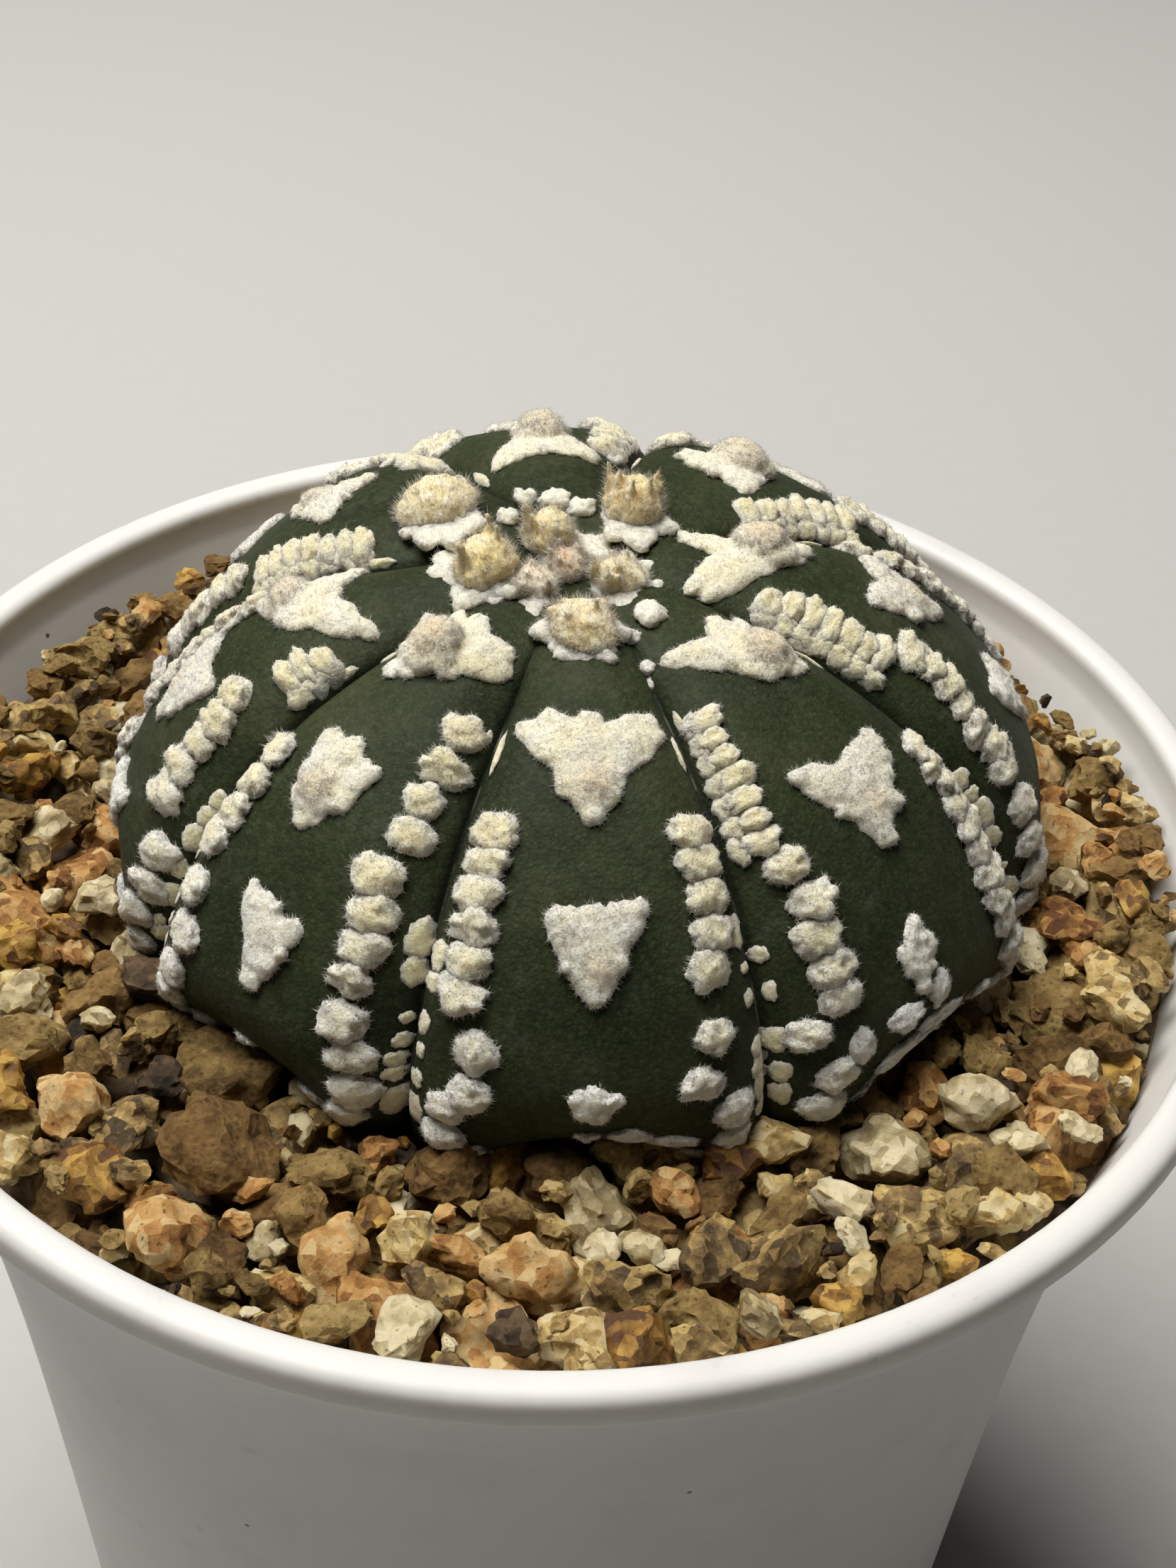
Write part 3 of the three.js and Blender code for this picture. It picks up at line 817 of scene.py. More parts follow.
# Runs of flecks down the sides of the ribs: rib, side of it (0 is its first edge), first angle and distance
# from the groove in mm, last angle and distance, and kind. The far ribs follow the habits of the near ones.
ROW_RUNS = [
    (2, 0, 36, 2.0, 62, 2.9, "row"), (2, 0, 67, 4.6, 74, 4.6, "loose"), (2, 0, 79, 3.6, 94, 3.0, "loose"),
    (2, 1, 36, 1.8, 60, 3.1, "row"), (2, 1, 65, 4.0, 74, 4.4, "loose"), (2, 1, 80, 3.0, 93, 2.8, "loose"),
    (3, 0, 22, 1.3, 39, 1.9, "comb"), (3, 0, 44, 3.4, 64, 4.5, "row"), (3, 0, 70, 2.0, 74, 2.4, "loose"),
    (3, 0, 79, 3.7, 94, 3.1, "loose"),
    (3, 1, 42, 1.7, 68, 4.7, "band"), (3, 1, 73, 4.2, 92, 3.2, "loose"),
    (1, 1, 24, 1.5, 39, 2.7, "loose"), (1, 1, 46, 3.4, 68, 3.9, "row"), (1, 1, 74, 3.0, 93, 2.8, "loose"),
    (1, 0, 39, 1.1, 58, 2.5, "row"), (1, 0, 63, 3.2, 73, 5.2, "loose"), (1, 0, 79, 4.0, 93, 3.0, "loose"),
    (0, 1, 27, 1.4, 33, 1.9, "comb"), (0, 1, 40, 4.1, 62, 4.1, "row"), (0, 1, 67, 2.0, 92, 2.8, "loose"),
    (0, 0, 36, 1.8, 64, 2.6, "row"), (0, 0, 70, 4.0, 92, 3.0, "loose"),
    (4, 0, 16, 1.5, 31, 2.3, "comb"), (4, 0, 36, 4.9, 60, 3.5, "band"), (4, 0, 66, 3.0, 92, 2.6, "loose"),
    (4, 1, 32, 1.7, 62, 3.0, "row"), (4, 1, 68, 4.0, 92, 3.0, "loose"),
    (5, 0, 18, 1.5, 36, 2.2, "comb"), (5, 0, 42, 4.4, 64, 4.0, "row"), (5, 0, 70, 3.0, 92, 3.0, "loose"),
    (5, 1, 34, 1.7, 64, 3.0, "row"), (5, 1, 69, 4.2, 92, 3.0, "loose"),
    (6, 0, 22, 1.4, 38, 2.0, "comb"), (6, 0, 44, 3.8, 66, 4.2, "row"), (6, 0, 72, 3.0, 92, 3.0, "loose"),
    (6, 1, 36, 1.8, 62, 3.0, "row"), (6, 1, 68, 4.2, 92, 3.2, "loose"),
    (7, 0, 24, 1.4, 40, 2.0, "comb"), (7, 0, 46, 3.6, 66, 4.0, "row"), (7, 0, 72, 3.0, 92, 3.0, "loose"),
    (7, 1, 20, 1.4, 38, 2.0, "comb"), (7, 1, 44, 3.6, 66, 4.0, "row"), (7, 1, 72, 3.2, 92, 3.0, "loose"),
]
FLECK_PITCH = 2.3
# For each kind: the play in its distance, half-width, half-length, height, play in its turn, and the least and
# the greatest step to the next
FLECK_KINDS = {
    "row": (0.3, 1.65, 1.38, 1.3, 0.35, 0.78, 0.92),
    "band": (0.25, 1.65, 1.3, 1.2, 0.3, 0.58, 0.72),
    "loose": (0.6, 1.55, 1.25, 1.2, 0.7, 0.95, 1.2),
}
ROW_GAP_SHARE = 0.25
ROW_GAP_STEP = 1.08
# Flat white pads low on the right front rib: angle, distance from the rib's first groove and half-sizes in mm
BASE_PADS = [(72.9, 11.8, 0.9, 1.0), (74, 8.7, 1.3, 0.8), (81, 12.0, 2.1, 0.9), (83, 9.2, 2.2, 0.9),
             (75, 5.5, 0.8, 1.1)]


def make_flecks():
    bodies = [fleck_master(5 * i, 2 + i % 3) for i in range(9)]
    fuzzy = [with_fuzz(body, 340, 0.34, 0.021, edge_share=5) for body in bodies]
    flat = [fleck_master(50 + 5 * i, 2, 160) for i in range(6)]
    plain = [with_fuzz(body, 60, 0.28, 0.018, edge_share=7) for body in flat]
    teeth = [with_fuzz(body, 170, 0.34, 0.02, edge_share=5) for body in flat]
    heaps = [Heap() for _ in range(4)]

    def put(masters, rib, side, angle, away, wide, long, tall, turn, yellow):
        points, triangles, is_hair = masters[draws.integers(len(masters))]
        if draws.random() < 0.5:
            turn += math.pi
        c, s = math.cos(turn), math.sin(turn)
        local = np.stack([(c * points[:, 0] - s * points[:, 1]) * wide,
                          (s * points[:, 0] + c * points[:, 1]) * long, points[:, 2] * tall], -1)
        arc = math.radians(RIB_SPANS[rib]) * float(dome(angle)[0])
        across = 1 - away / arc if side else away / arc
        placed = laid_on_skin(local, rib, across, angle)
        middle = np.exp(-(points[:, 0] ** 2 + points[:, 1] ** 2) / 0.55) * smoothstep(points[:, 2], 0.1, 0.5)
        warmth = np.clip(yellow * (0.42 + 1.1 * middle * (1 - is_hair)), 0, 1)
        heaps[rib // 2].add(in_scene(placed), triangles, warmth=warmth, tan=0.0)

    for rib, side, first, away_first, last, away_last, kind in ROW_RUNS:
        angle = first
        while angle <= last + 1:
            away = float(np.interp(angle, [first, last], [away_first, away_last]))
            size = draws.uniform(0.9, 1.12)
            yellow = float(np.interp(angle, [15, 45, 75], [1.0, 0.85, 0.3])) * draws.uniform(0.7, 1.1)
            step = FLECK_PITCH / float(np.interp(angle, ARC_ANGLES[1:], np.diff(ARC_LENGTHS) / 0.25))
            if kind == "comb":
                wide = draws.uniform(1.15, 1.65)
                put(teeth, rib, side, angle, away - 1.2 + wide, wide, 0.92 * size, 1.2,
                    draws.uniform(-0.3, 0.3), yellow)
                put(teeth, rib, side, angle, 0.9, 0.7, 1.1 * size, 0.9, draws.uniform(-0.2, 0.2), yellow)
                angle += draws.uniform(0.5, 0.68) * step
                continue
            play, wide, long, tall, swing, least, most = FLECK_KINDS[kind]
            put(fuzzy, rib, side, angle, away + draws.uniform(-play, play), wide * size, long * size, tall,
                draws.uniform(-swing, swing), yellow)
            gap = kind == "row" and draws.random() < ROW_GAP_SHARE
            angle += step * (ROW_GAP_STEP if gap else draws.uniform(least, most))
    for angle, away, wide, long in BASE_PADS:
        put(fuzzy, 3, 0, angle, away, 1.2 * wide, 1.2 * long, 0.7, draws.uniform(-0.2, 0.2), 0.0)
    for rib in range(RIBS):
        for side in (0, 1):
            angle = draws.uniform(48, 56)
            while angle < 88:
                size = draws.uniform(0.4, 0.95)
                put(plain, rib, side, angle, draws.uniform(0.45, 0.8), size, draws.uniform(0.9, 1.8) * size, 0.32,
                    draws.uniform(-0.3, 0.3), 0.9)
                angle += draws.uniform(3, 9)
            for _ in range(3):
                size = draws.uniform(0.7, 1.1)
                put(fuzzy, rib, side, draws.uniform(84, 98), draws.uniform(4.0, 9.0), 1.5 * size, 0.9 * size, 0.7,
                    draws.uniform(-0.7, 0.7), 0.0)
            size = draws.uniform(0.2, 0.3)
            put(plain, rib, side, draws.uniform(18, 26), 0.45, size, draws.uniform(3, 6) * size, 0.4, 0.0, 1.0)
    pieces = [heap.piece(f"wool_flecks_{i + 1}") for i, heap in enumerate(heaps)]
    for piece in pieces:
        finish_wool(piece, WOOL)


def finish_wool(piece, material):
    piece.data.materials.append(material)
    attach(piece, "root")


# Crown

def crown_frame(x, y):
    """The skin's place at a plan position in mm from the axis, and upright axes that lean out a little."""
    radius = math.hypot(x, y)
    turn = math.degrees(math.atan2(y, x))
    angles = np.linspace(0, 40, 400)
    angle = float(np.interp(radius, dome(angles)[0], angles))
    behind = np.mod(turn - GROOVES, 360)
    rib = int(np.argmin(behind))
    base = skin(np.array([rib]), np.array([behind[rib] / RIB_SPANS[rib]]), np.array([angle]))[0]
    out = np.array([x, y, 0]) / max(radius, 1e-6)
    upright = np.array([0, 0, 1.0]) + out * math.tan(math.radians(min(angle, 16)))
    upright /= np.linalg.norm(upright)
    crownward = -out - upright * (-out @ upright)
    if radius < 0.5:
        crownward = np.array([0, 1.0, 0])
    crownward /= np.linalg.norm(crownward)
    return base, np.stack([np.cross(crownward, upright), crownward, upright])


# Tufts round the growing point: place in mm from the axis, radius and height of the cushion,
# share of gold and of brown, and the number of tongues that stand up from it
TUFTS = [
    (-9.1, 4.5, 2.4, 2.6, 0.8, 0.0, 2),
    (-5.7, -1.7, 1.9, 3.0, 1.0, 0.0, 4),
    (-1.9, 2.3, 1.5, 3.0, 0.85, 0.0, 5),
    (3.2, 5.2, 1.9, 3.1, 1.0, 0.1, 8),
    (-0.9, 0.2, 1.25, 1.8, 0.4, 0.8, 5),
    (-2.7, -2.4, 1.5, 1.5, 0.45, 0.25, 6),
    (2.5, -1.2, 1.6, 1.9, 0.8, 0.05, 8),
    (0.4, -7.1, 2.0, 2.0, 0.8, 0.1, 3),
]
# Flat white wool under and between them: place, and tips of its lobes
SKIRTS = [
    (-9.1, 4.3, [(-3.0, -0.6), (2.9, -0.8), (0.2, -2.6), (1.0, 3.6), (3.4, 3.2), (3.8, 1.2)]),
    (-5.8, -2.0, [(-2.9, -2.2), (-1.6, -3.2), (2.4, -2.4), (2.6, 1.2), (-2.6, 1.6)]),
    (3.2, 4.9, [(-2.7, -0.6), (2.4, -1.4), (0, -2.4), (-2.4, 2.6), (-0.4, 2.8)]),
    (2.5, -1.4, [(-2.4, -2.0), (2.9, -0.8), (1.2, -2.4), (3.0, 1.2)]),
    (0.4, -7.2, [(-2.9, 0.2), (2.7, 0.1), (-1.4, -2.2), (1.6, -2.4), (0, -2.6)]),
    (-2.7, -2.6, [(-1.8, -1.8), (1.8, -2.0)]),
    (0.4, 2.6, [(-1.6, 1.4), (2.0, 1.0)]),
]
# Small white pads near the growing point: place and half-width
CROWN_PADS = [(-3.8, 6.9, 0.9), (-1.9, 6.3, 1.15), (-0.2, 5.8, 1.05), (-4.8, 4.3, 0.9), (4.5, -5.2, 1.2),
              (3.5, -6.9, 0.6), (-5.0, -4.2, 0.65), (4.5, -9.0, 0.6), (4.7, -9.9, 0.6)]


def tongue(start, tip, half_width):
    """A pointed tongue of wool from a start to a tip."""
    way = Vector(tip) - Vector(start)
    turn = way.to_track_quat("Z", "Y").to_euler()
    select_none()
    bpy.ops.mesh.primitive_cone_add(vertices=10, radius1=half_width, radius2=0.12 * half_width, depth=way.length,
                                    location=(Vector(start) + Vector(tip)) / 2, rotation=turn)
    settle(bpy.context.object)
    return bpy.context.object


def tuft(heap, place, radius, height, gold, brown, tongues, seed):
    """A soft cushion of wool with tongues that stand up from it, under short fine hairs."""
    parts = [lump((0, 0, 0.2 * height), (radius, radius, 0.68 * height), detail=4),
             lump((0.15 * radius, -0.35 * radius, 0.15 * height), (0.95 * radius, 0.75 * radius, 0.45 * height))]
    for _ in range(6):
        turn = draws.uniform(0, math.tau)
        half = draws.uniform(0.24, 0.4) * radius
        parts.append(lump(polar(0.8 * radius, turn, draws.uniform(0.1, 0.4) * height),
                          (half, 0.8 * half, 0.9 * half), turn))
    for _ in range(tongues):
        turn = draws.uniform(0, math.tau)
        reach = draws.uniform(0.3, 0.85) * radius
        start = polar(reach, turn, 0.25 * height)
        tip = (1.4 * start[0], 1.4 * start[1], draws.uniform(0.9, 1.2) * height)
        parts.append(tongue(start, tip, draws.uniform(0.5, 0.75)))
    shape = felted(parts, 0.12, -0.3, [(0.8, 0.16), (0.32, 0.1)], seed, 1700)
    points, triangles = shape
    roots, out = hair_roots(shape, 1300, -0.2, 8.0)
    lean = out + [0, 0, 0.6] + 0.35 * draws.normal(size=out.shape)
    lengths = draws.uniform(0.3, 0.85, len(roots))
    hair_points, hair_triangles = hairs(roots - 0.1 * out, lean, lengths, 0.02)
    base, axes = crown_frame(*place)
    for part_points, part_triangles in ((points, triangles), (hair_points, hair_triangles)):
        rise = smoothstep(part_points[:, 2] / height, -0.02, 0.3)
        streak = 0.85 + 0.5 * lumps(part_points * [1, 1, 0.4], 0.6, seed)
        middle = np.exp(-(part_points[:, 0] ** 2 + part_points[:, 1] ** 2) / (0.8 * radius) ** 2)
        heap.add(in_scene(part_points @ axes + base), part_triangles, warmth=np.clip(gold * rise * streak, 0, 1),
                 tan=np.clip(brown * rise * streak * (0.3 + middle), 0, 1))


def make_crown_wool():
    heap = Heap()

    def put(points, triangles, x, y, warmth):
        base, axes = crown_frame(x, y)
        heap.add(in_scene(points @ axes + base), triangles, warmth=warmth, tan=0.0)

    for number, (x, y, radius, height, gold, brown, tongues) in enumerate(TUFTS):
        tuft(heap, (x, y), radius, height, gold, brown, tongues, 4 * number)
    for number, (x, y, lobes) in enumerate(SKIRTS):
        shape = areole_master(lobes, NO_KNOB, 90 + number, 800)
        points, triangles, _ = with_fuzz(shape, 600, 0.55, 0.017)
        put(points, triangles, x, y, 0.18)
    for number, (x, y, half) in enumerate(CROWN_PADS):
        shape = fleck_master(60 + number, 2)
        points, triangles, _ = with_fuzz((shape[0] * half, shape[1]), 160, 0.35)
        put(points, triangles, x, y, 0.15)
    piece = heap.piece("crown_tufts")
    finish_wool(piece, CROWN_WOOL)
    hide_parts("crown_wool")


# Potting mix

# What all stones are darkened by
STONE_TINT = (0.70, 0.63, 0.47)
# Half-lengths of the grains in mm, the large ones first: count, least and greatest
GRAIN_SIZES = [(38, 3.3, 4.7), (110, 2.3, 3.3), (170, 1.5, 2.3), (190, 0.9, 1.5), (230, 0.45, 0.9)]
BIG_GRAIN, MIDDLE_GRAIN, SMALL_GRAIN = 3.3 * MM, 2.3 * MM, 0.9 * MM
# Places tried for each grain, and how far below the pot's top all of them stay
GRAIN_TRIES = 16
TOP_CLEARANCE = 0.6 * MM
BIG_KINDS = ("pumice", "clay", "granite", "granite", "feldspar")
# Kinds of grain: share of the count, pits, glassiness, and stops of the colour
GRAINS = {
    "pumice": (0.20, 1.0, 0.0, [(0.26, (0.13, 0.085, 0.035)), (0.44, (0.33, 0.235, 0.105)),
                                (0.62, (0.50, 0.385, 0.19)), (0.8, (0.66, 0.54, 0.30))]),
    "clay": (0.13, 0.7, 0.0, [(0.26, (0.085, 0.05, 0.02)), (0.44, (0.21, 0.13, 0.055)), (0.62, (0.34, 0.225, 0.10)),
                              (0.8, (0.48, 0.35, 0.17))]),
    "granite": (0.24, 0.3, 0.4, [(0.24, (0.09, 0.06, 0.028)), (0.4, (0.27, 0.19, 0.09)), (0.54, (0.52, 0.39, 0.18)),
                                 (0.66, (0.76, 0.62, 0.32)), (0.8, (0.86, 0.80, 0.62))]),
    "feldspar": (0.15, 0.3, 0.3, [(0.24, (0.16, 0.065, 0.02)), (0.42, (0.48, 0.25, 0.085)),
                                  (0.57, (0.68, 0.43, 0.19)), (0.75, (0.82, 0.66, 0.42))]),
    "quartz": (0.13, 0.1, 0.9, [(0.26, (0.34, 0.28, 0.16)), (0.46, (0.60, 0.54, 0.38)), (0.7, (0.92, 0.89, 0.78))]),
    "amber": (0.10, 0.2, 0.7, [(0.28, (0.12, 0.045, 0.01)), (0.5, (0.40, 0.22, 0.035)), (0.7, (0.72, 0.50, 0.14))]),
    "dark": (0.04, 0.6, 0.1, [(0.3, (0.025, 0.018, 0.013)), (0.6, (0.09, 0.062, 0.045)), (0.8, (0.18, 0.13, 0.09))]),
}


def grain_material(kind):
    """Stone with its own mottling: pits with painted shade in the soft kinds, crystals in the glassy ones, and paler
    high points on the fine relief.
    """
    _, pits, glass, stops = GRAINS[kind]
    look = Finish("grain_" + kind)
    pit_shade = tuple(0.35 * c for c in stops[0][1])
    dark_fleck = tuple(0.4 * c for c in stops[0][1])
    crystals = look.cells(0.85 * MM)
    tone = look.math("ADD", look.noise(1.5 * MM, 8, 0.68), look.value("tone"))
    own_tone = look.math("MULTIPLY", crystals.outputs["Color"], 0.5 if glass else 0.14)
    tone = look.math("ADD", tone, look.math("SUBTRACT", own_tone, 0.23 if glass else 0.07))
    colour = look.ramp(tone, stops)
    fine = look.noise(0.22 * MM, 6, 0.75)
    relief = look.bump(fine, 0.2 * MM, strength=0.5 + 0.4 * pits)
    if pits > 0.5:
        holes = look.cells(0.55 * MM).outputs["Distance"]
        # Painted shade in the pits.
        colour = look.tint(colour, look.mask(holes, 0.3, 0.12), 0.6 * pits, pit_shade)
        relief = look.bump(holes, 0.24 * MM, relief, 0.7)
    else:
        colour = look.tint(colour, look.mask(look.noise(0.4 * MM, 3, 0.5), 0.36, 0.3), 0.7, dark_fleck)
        relief = look.bump(crystals.outputs["Distance"], 0.3 * MM, relief, 0.6)
    # A paler tone on the high points of the fine relief.
    colour = look.tint(colour, look.mask(fine, 0.56, 0.74), 0.35, stops[-1][1])
    colour = look.mix(1.0, colour, STONE_TINT, "MULTIPLY")
    return look.done(colour, relief, Roughness=0.85 - 0.5 * glass, Specular_IOR_Level=0.25 + 0.35 * glass,
                     Subsurface_Weight=0.08 + 0.55 * glass, Subsurface_Radius=(1, 0.8, 0.5),
                     Subsurface_Scale=1.0 * MM)


def grain_master(kind, number, faces):
    """One grain: a ball cut by flat planes, melted a little at its edges and roughened, 1 in half-length."""
    _, pits, glass, _ = GRAINS[kind]
    select_none()
    bpy.ops.mesh.primitive_ico_sphere_add(subdivisions=3, radius=1)
    grain = bpy.context.object
    for _ in range(10 if glass > 0.2 else 8):
        facing = draws.normal(size=3)
        facing /= np.linalg.norm(facing)
        cut_away(grain, tuple(facing * draws.uniform(0.42, 0.82)), tuple(facing))
    melted(grain, 0.08, 1 if glass > 0.2 else 2)
    roughened(grain, [(0.9, 0.16), (0.4, 0.16), (0.17, 0.05 + 0.04 * pits)], 17 * number + len(kind))
    thinned(grain, faces)
    points, triangles = taken_shape(grain)
    points = points - (points.max(0) + points.min(0)) / 2
    return points / np.abs(points).max(), triangles


def plant_reach(turn):
    """The plant's reach near the mix, in metres: less at the middle of a rib, where its underside tucks in."""
    behind = np.mod(math.degrees(turn) - GROOVES, 360)
    rib = int(np.argmin(behind))
    share = behind[rib] / RIB_SPANS[rib]
    return (30.0 - 3.6 * math.exp(-(((share - 0.5) / MIDDLE_SHARE) ** 2))) * MM


def bank(x, y):
    """How much higher the mix lies against the wall than round the plant: most at the back and the sides."""
    near_wall = smoothstep(np.hypot(x, y), 31 * MM, 40 * MM)
    return near_wall * (0.8 + 2.4 * smoothstep(np.sin(np.arctan2(y, x)), -0.55, 0.1)) * MM


def dropped_grains():
    """Grains dropped one by one where the bed is lowest, the large ones first: place, half-length and squash."""
    cell = 0.5 * MM
    axis = (np.arange(round(2 * RIM_RADIUS / cell)) + 0.5) * cell - RIM_RADIUS
    grid_x, grid_y = np.meshgrid(axis, axis, indexing="ij")
    bank_grid = bank(grid_x, grid_y)
    bed = MIX_TOP - 2.6 * MM + bank_grid
    outer = wall_radius(POT_HEIGHT - MIX_TOP - 2 * MM) - WALL
    sizes = [draws.uniform(least, most) for count, least, most in GRAIN_SIZES for _ in range(count)]
    placed = []
    for size in np.array(sizes) * MM:
        squash = draws.uniform(0.6, 0.85)
        lowest = None
        for _ in range(GRAIN_TRIES):
            turn = draws.uniform(0, math.tau)
            reach_x, reach_y = (math.sqrt(draws.uniform(0.3, 1)) * (outer - 0.8 * size) for _ in range(2))
            x, y = reach_x * math.cos(turn), reach_y * math.sin(turn)
            dx, dy = x - PLANT_PLACE.x, y - PLANT_PLACE.y
            if math.hypot(dx, dy) < plant_reach(math.atan2(dy, dx)) + 0.6 * size:
                continue
            i, j = int((x + RIM_RADIUS) / cell), int((y + RIM_RADIUS) / cell)
            k = max(1, int(0.62 * size / cell))
            rest = np.percentile(bed[max(i - k, 0):i + k + 1, max(j - k, 0):j + k + 1], 82)
            if lowest is None or rest - bank_grid[i, j] < lowest[0] - lowest[3]:
                lowest = (rest, x, y, bank_grid[i, j])
        if lowest is None:
            continue
        rest, x, y, _ = lowest
        centre = rest + 0.42 * size * squash
        if centre + size * squash > POT_HEIGHT - TOP_CLEARANCE:
            continue
        far = ((grid_x - x) ** 2 + (grid_y - y) ** 2) / (0.85 * size) ** 2
        stone = centre + 0.9 * size * squash * np.sqrt(np.clip(1 - far, 0, 1))
        bed = np.where(far < 1, np.maximum(bed, stone), bed)
        placed.append((x, y, centre, size, squash))
    return placed


def make_grains():
    kinds = list(GRAINS)
    shares = np.array([GRAINS[kind][0] for kind in kinds])
    fine = {kind: [grain_master(kind, k, 520) for k in range(4)] for kind in kinds}
    plain = {kind: [grain_master(kind, 10 + k, 240) for k in range(5)] for kind in kinds}
    small = {kind: [grain_master(kind, 20 + k, 70) for k in range(4)] for kind in kinds}
    heaps = {kind: Heap() for kind in kinds}
    for x, y, z, size, squash in dropped_grains():
        kind = kinds[draws.choice(len(kinds), p=shares / shares.sum())]
        if size > BIG_GRAIN:
            kind = BIG_KINDS[draws.integers(len(BIG_KINDS))]
        masters = fine if size > MIDDLE_GRAIN else plain if size > SMALL_GRAIN else small
        points, triangles = masters[kind][draws.integers(len(masters[kind]))]
        spin = np.array(Matrix.Rotation(draws.uniform(0, 6.28), 3, Vector(draws.normal(size=3))))
        stretch = np.diag([draws.uniform(0.95, 1.2), draws.uniform(0.72, 1.0), squash])
        turn = np.array(Matrix.Rotation(draws.uniform(0, 6.28), 3, "Z")
                        @ Matrix.Rotation(draws.uniform(-0.4, 0.4), 3, "X"))
        placed = points @ spin.T @ stretch @ turn.T * size + [x, y, z]
        reach = np.hypot(placed[:, 0], placed[:, 1]) - wall_radius(POT_HEIGHT - placed[:, 2]) + WALL
        if reach.max() > 0:
            placed[:, :2] -= np.array([x, y]) / math.hypot(x, y) * (reach.max() + 0.05 * MM)
        heaps[kind].add(placed, triangles, tone=draws.uniform(-0.17, 0.17))
    for kind, heap in heaps.items():
        piece = heap.piece("grains_" + kind)
        make_active(piece)
        bpy.ops.object.shade_smooth_by_angle(angle=math.radians(38))
        piece.data.materials.append(grain_material(kind))
        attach(piece, "root")


def mix_filling_material():
    look = Finish("mix_filling")
    blotch = look.noise(1.8 * MM, 5, 0.7)
    colour = look.ramp(blotch, [(0.3, (0.05, 0.03, 0.018)), (0.7, (0.22, 0.15, 0.08))])
    return look.done(colour, look.bump(blotch, 0.6 * MM), Roughness=0.95)


def make_mix_filling():
    """The mix under the loose top grains: a plug that fills the pot, with rings across its top."""
    top = MIX_TOP - 2.4 * MM
    profile = [(wall_radius(POT_HEIGHT - height) - WALL - MIX_GAP, height)
               for height in np.linspace(FLOOR_THICKNESS + MIX_GAP, top, 14)]
    wide = profile[-1][0]
    filling = turned("mix_filling", 96, profile + [(inner * wide, top) for inner in (0.94, 0.88, 0.82, 0.76, 0.5)])
    points = places_of(filling)
    on_top = points[:, 2] > top - 0.1 * MM
    points[on_top, 2] += bank(points[on_top, 0], points[on_top, 1])
    rim = on_top & (np.hypot(points[:, 0], points[:, 1]) > 0.99 * wide)
    stretch = (wall_radius(POT_HEIGHT - points[rim, 2].max()) - WALL - MIX_GAP) / wide
    points[rim, :2] *= stretch
    set_places(filling, points)
    dress(filling, mix_filling_material())
    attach(filling, "root")
    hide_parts("potting_mix")


# Camera, lights and floor

PHOTO_HEIGHT = 2212
FOCAL_PIXELS = 3324
CAMERA_PITCH = math.radians(39.71)
CAMERA_ROLL = math.radians(3.042)
CAMERA_DISTANCE = 3.3607 * RIM_RADIUS
CAMERA_RIGHT = 0.0638 * RIM_RADIUS
CAMERA_UP = 0.0454 * RIM_RADIUS
LIGHT_PLACE = Vector((-0.15, 0.10, 0.63))
LIGHT_AIM = Vector((0, 0, 0.07))
LIGHT_SIZE = 0.44
LIGHT_WATTS = 5.9


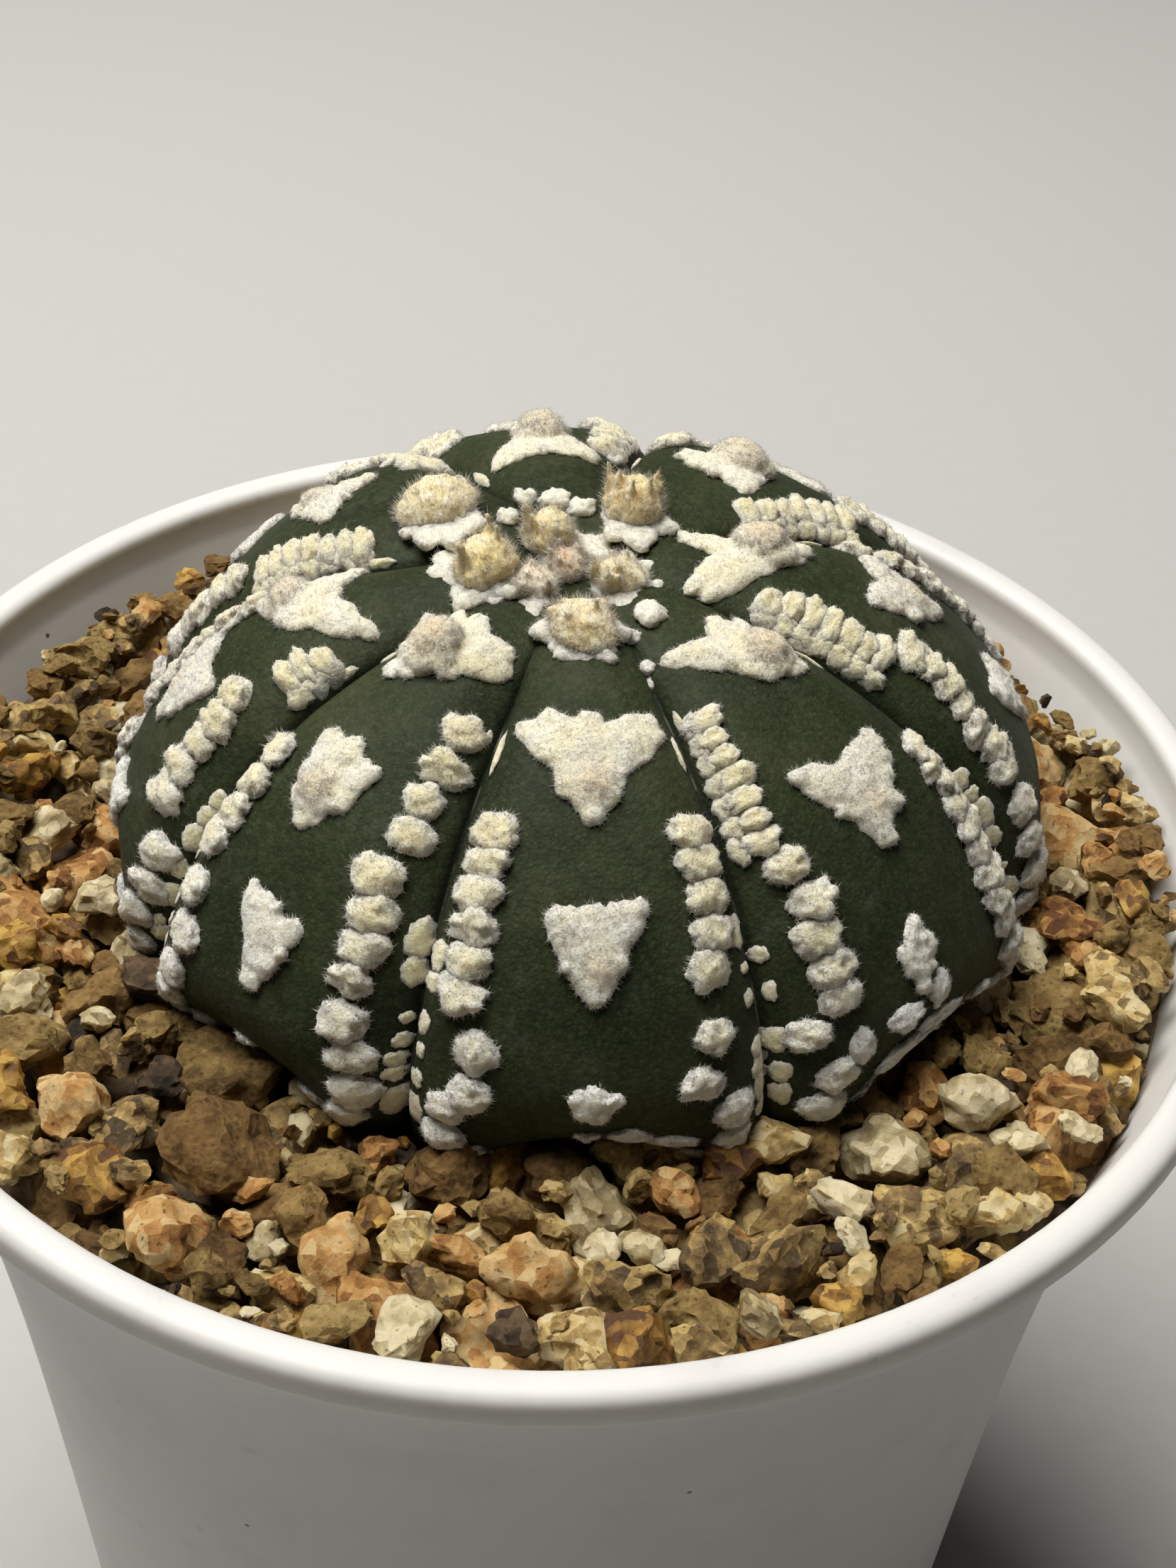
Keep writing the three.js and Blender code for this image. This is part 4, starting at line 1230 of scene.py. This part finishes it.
def make_camera():
    forward = Vector((0, math.cos(CAMERA_PITCH), -math.sin(CAMERA_PITCH)))
    level = Vector((1, 0, 0))
    upright = level.cross(forward)
    right = math.cos(CAMERA_ROLL) * level + math.sin(CAMERA_ROLL) * upright
    up = -math.sin(CAMERA_ROLL) * level + math.cos(CAMERA_ROLL) * upright
    place = Vector((0, 0, POT_HEIGHT)) - CAMERA_DISTANCE * forward + CAMERA_RIGHT * level + CAMERA_UP * upright
    data = bpy.data.cameras.new("camera")
    camera = bpy.data.objects.new("camera", data)
    bpy.context.scene.collection.objects.link(camera)
    turn = Matrix((right, up, -forward)).transposed().to_4x4()
    camera.matrix_world = Matrix.Translation(place) @ turn
    data.sensor_width = 36
    data.lens = FOCAL_PIXELS / PHOTO_HEIGHT * data.sensor_width
    data.clip_start = 0.01
    data.clip_end = 20
    bpy.context.scene.camera = camera


def make_lights():
    """A soft disc of light above the left back, and a faint even glow from all round."""
    data = bpy.data.lights.new("overhead", "AREA")
    data.shape = "DISK"
    data.size = LIGHT_SIZE
    data.energy = LIGHT_WATTS
    data.color = (1.0, 0.975, 0.93)
    light = bpy.data.objects.new("overhead", data)
    bpy.context.scene.collection.objects.link(light)
    turn = (LIGHT_AIM - LIGHT_PLACE).to_track_quat("-Z", "Y")
    light.matrix_world = Matrix.Translation(LIGHT_PLACE) @ turn.to_matrix().to_4x4()
    world = bpy.data.worlds.new("studio")
    world.use_nodes = True
    glow = world.node_tree.nodes["Background"].inputs
    glow["Color"].default_value = (1.0, 0.985, 0.95, 1)
    glow["Strength"].default_value = 0.03
    bpy.context.scene.world = world


def make_floor():
    select_none()
    bpy.ops.mesh.primitive_plane_add(size=6, location=(0, 0, -0.05 * MM))
    floor = named(bpy.context.object, "floor")
    settle(floor)
    look = Finish("pale_floor")
    split = look.node("ShaderNodeSeparateXYZ", Vector=look.places)
    # Painted light and shade: the floor is darker near the pot and paler towards the back, standing in for the
    # brighter backdrop behind it. The fine noise near the pot is the floor's own mottle.
    away = look.mask(split.outputs["Y"], -0.05, 0.35)
    near = look.ramp(look.noise(3 * MM, 3), [(0.3, (0.465, 0.46, 0.445)), (0.7, (0.485, 0.48, 0.465))])
    floor.data.materials.append(look.done(look.mix(away, near, (0.60, 0.595, 0.58)), Roughness=0.9))


bpy.context.scene.view_settings.view_transform = "Standard"
WOOL = wool("wool", (0.98, 0.94, 0.84), (0.97, 0.84, 0.53), (0.82, 0.65, 0.40), 0.6 * MM)
CROWN_WOOL = wool("crown_wool", (0.97, 0.94, 0.84), (1.0, 0.77, 0.36), (0.74, 0.48, 0.32), 0.9 * MM)
make_camera()
make_lights()
make_floor()
make_pot()
make_mix_filling()
make_grains()
make_skin()
make_flecks()
make_areoles()
make_crown_wool()
